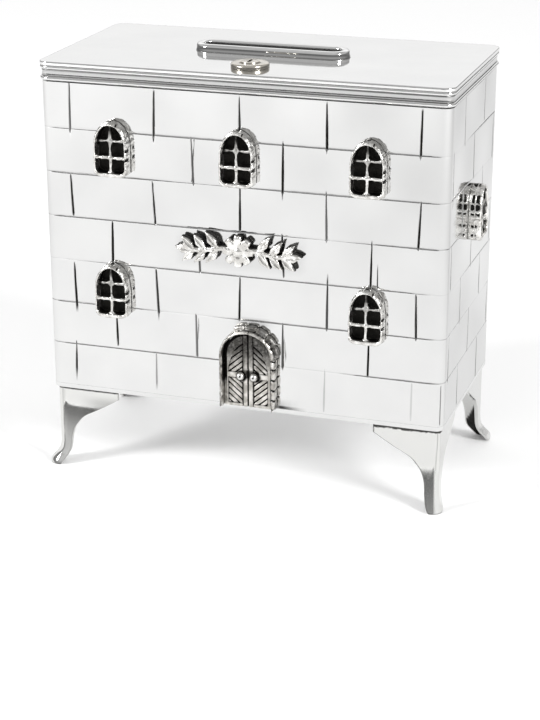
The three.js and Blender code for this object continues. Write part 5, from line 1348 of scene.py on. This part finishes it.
thread = []
for foot in 104.0 + THREAD_PITCH * np.arange(THREAD_TURNS):
    thread += [(THREAD_OUTER, foot), (THREAD_OUTER, foot + 0.12)]
    thread += [(THREAD_ROOT, foot + 0.28), (THREAD_ROOT, foot + 0.36)]
housing = [(2.45, 103.5), (3.3, 103.5), (THREAD_OUTER, 103.7)] + thread + [
    (THREAD_OUTER, 111.2), (THREAD_OUTER, PLATE_TOP), (4.9, PLATE_TOP), (5.0, 113.9), (5.0, 114.55),
    (4.93, 114.8), (4.76, 114.98), (4.5, 115.1), (2.85, 115.1), (2.62, 115.0), (2.5, 114.8), (2.45, 114.5)]
points, faces = tube(circles(housing, 96) + LOCK_AXIS, joined=True)
put("threaded_lock_housing", "lid", "lock_steel", nickel, points, faces, stands_for=["lock_housing"],
    smooth=35)

rings = []
turn = full_turn(96)
hexagon = NUT_FLAT / np.cos((turn - math.pi / 6) % (math.pi / 3) - math.pi / 6)
for radius, level in ((3.55, 111.0), (4.7, 111.0), (5.54, 111.35), (5.54, 112.45), (4.7, PLATE_FOOT),
                      (3.55, PLATE_FOOT)):
    r = np.minimum(radius, hexagon) if radius > 4 else radius
    rings.append(at_level(np.stack([r * np.sin(turn), LOCK_Y + r * np.cos(turn)], 1), level))
put("hexagon_lock_nut", "lid", "lock_steel", nickel, *tube(rings, joined=True), stands_for=["lock_nut"],
    smooth=20)

plug = [(2.1, 103.2), (2.4, 103.4), (2.4, 115.15), (2.33, 115.32), (2.15, PLUG_TOP)]
keyway = [(y, x + LOCK_Y) for x, y in capsule(3.2, 0.9, 6)]
shape = bmesh.new()
outer_loops = upright_faces(shape, circles(plug, 96) + LOCK_AXIS)
keyway_loops = upright_faces(shape, [at_level(keyway, level) for level in (PLUG_TOP, KEYWAY_FLOOR)])
shape.faces.new(outer_loops[0][::-1])
shape.faces.new(keyway_loops[1])
flat_face(shape, outer_loops[-1], keyway_loops[0])
points, faces = taken_from(shape)
# The keyway's walls are painted black as shade.
in_pit = np.hypot(points[:, 0], points[:, 1] - LOCK_Y) < 1.8
in_pit &= (points[:, 2] > 110.0) & (points[:, 2] < 115.0)
put("lock_plug_with_keyway", "lock", "lock_steel", nickel, points, faces, stands_for=["lock_plug"], smooth=30,
    levels={"soot": in_pit * 0.9})

cam = np.vstack([
    arc((0, 0), 2.2, -90, 90, 24), arc((-6.0, 1.4), 0.8, 90, 180, 8), arc((-6.0, -1.4), 0.8, 180, 270, 8),
])
inward = cam - (-1.9, 0.0)
inward = inward / np.linalg.norm(inward, axis=1, keepdims=True)
rings = [at_level(cam - inward * shrink + (0.0, LOCK_Y), level) for shrink, level in (
    (0.12, 102.0), (0.03, 102.05), (0.0, 102.14), (0.0, 103.06), (0.03, 103.15), (0.12, 103.2))]
put("stamped_lock_cam", "lock", "lock_steel", nickel, *tube(rings), stands_for=["lock_cam"], smooth=35)

screw = [(1.3, 101.0), (1.5, 101.05), (1.65, 101.22), (1.7, 101.5), (1.7, 101.95), (1.66, 102.0)]
points, faces, _ = as_one([tube(circles(screw, 64) + LOCK_AXIS)], 0.07)
# The slot is cut into the head, and painted black as shade.
in_slot = fade(0.27 - np.abs(points[:, 1] - LOCK_Y), 0.0, 0.05) * (points[:, 2] < 101.4)
points[:, 2] += 0.45 * in_slot
put("slotted_cam_screw", "lock", "lock_steel", nickel, held_in("cam_screw", points), faces,
    stands_for=["cam_screw"], smooth=180, levels={"soot": in_slot * 0.8})

# The strike: a strip of 0.8 mm nickel plated steel folded to a right angle and soldered inside the
# front wall, with a tab that the cam turns under.
STRIKE_FOOT, STRIKE_HEAD, STRIKE_BACK, STRIKE_TAB = 99.4, 104.4, -26.5, -23.3
strike_section = [
    (STRIKE_BACK, STRIKE_FOOT), *arc((-25.7, 103.6), 0.8, 180, 90, 8), (STRIKE_TAB, STRIKE_HEAD),
    (STRIKE_TAB, 103.6), (-25.6, 103.6), (-25.7, 103.5), (-25.7, STRIKE_FOOT),
]
rings = []
for x, shrink in ((-4.5, 0.12), (-4.42, 0.03), (-4.3, 0.0), (4.3, 0.0), (4.42, 0.03), (4.5, 0.12)):
    ring = []
    for y, z in strike_section:
        from_wall = 0.5 * shrink if y < -26.2 else -0.5 * shrink if y > -23.5 else 0.0
        upward = shrink if z < 99.6 else -0.5 * shrink if z > 104.2 else 0.0
        ring.append((x, y + from_wall, z + upward))
    rings.append(ring)
put("folded_strike_bracket", "box", "lock_steel", nickel, *tube(rings), stands_for=["strike_bracket"],
    smooth=35)
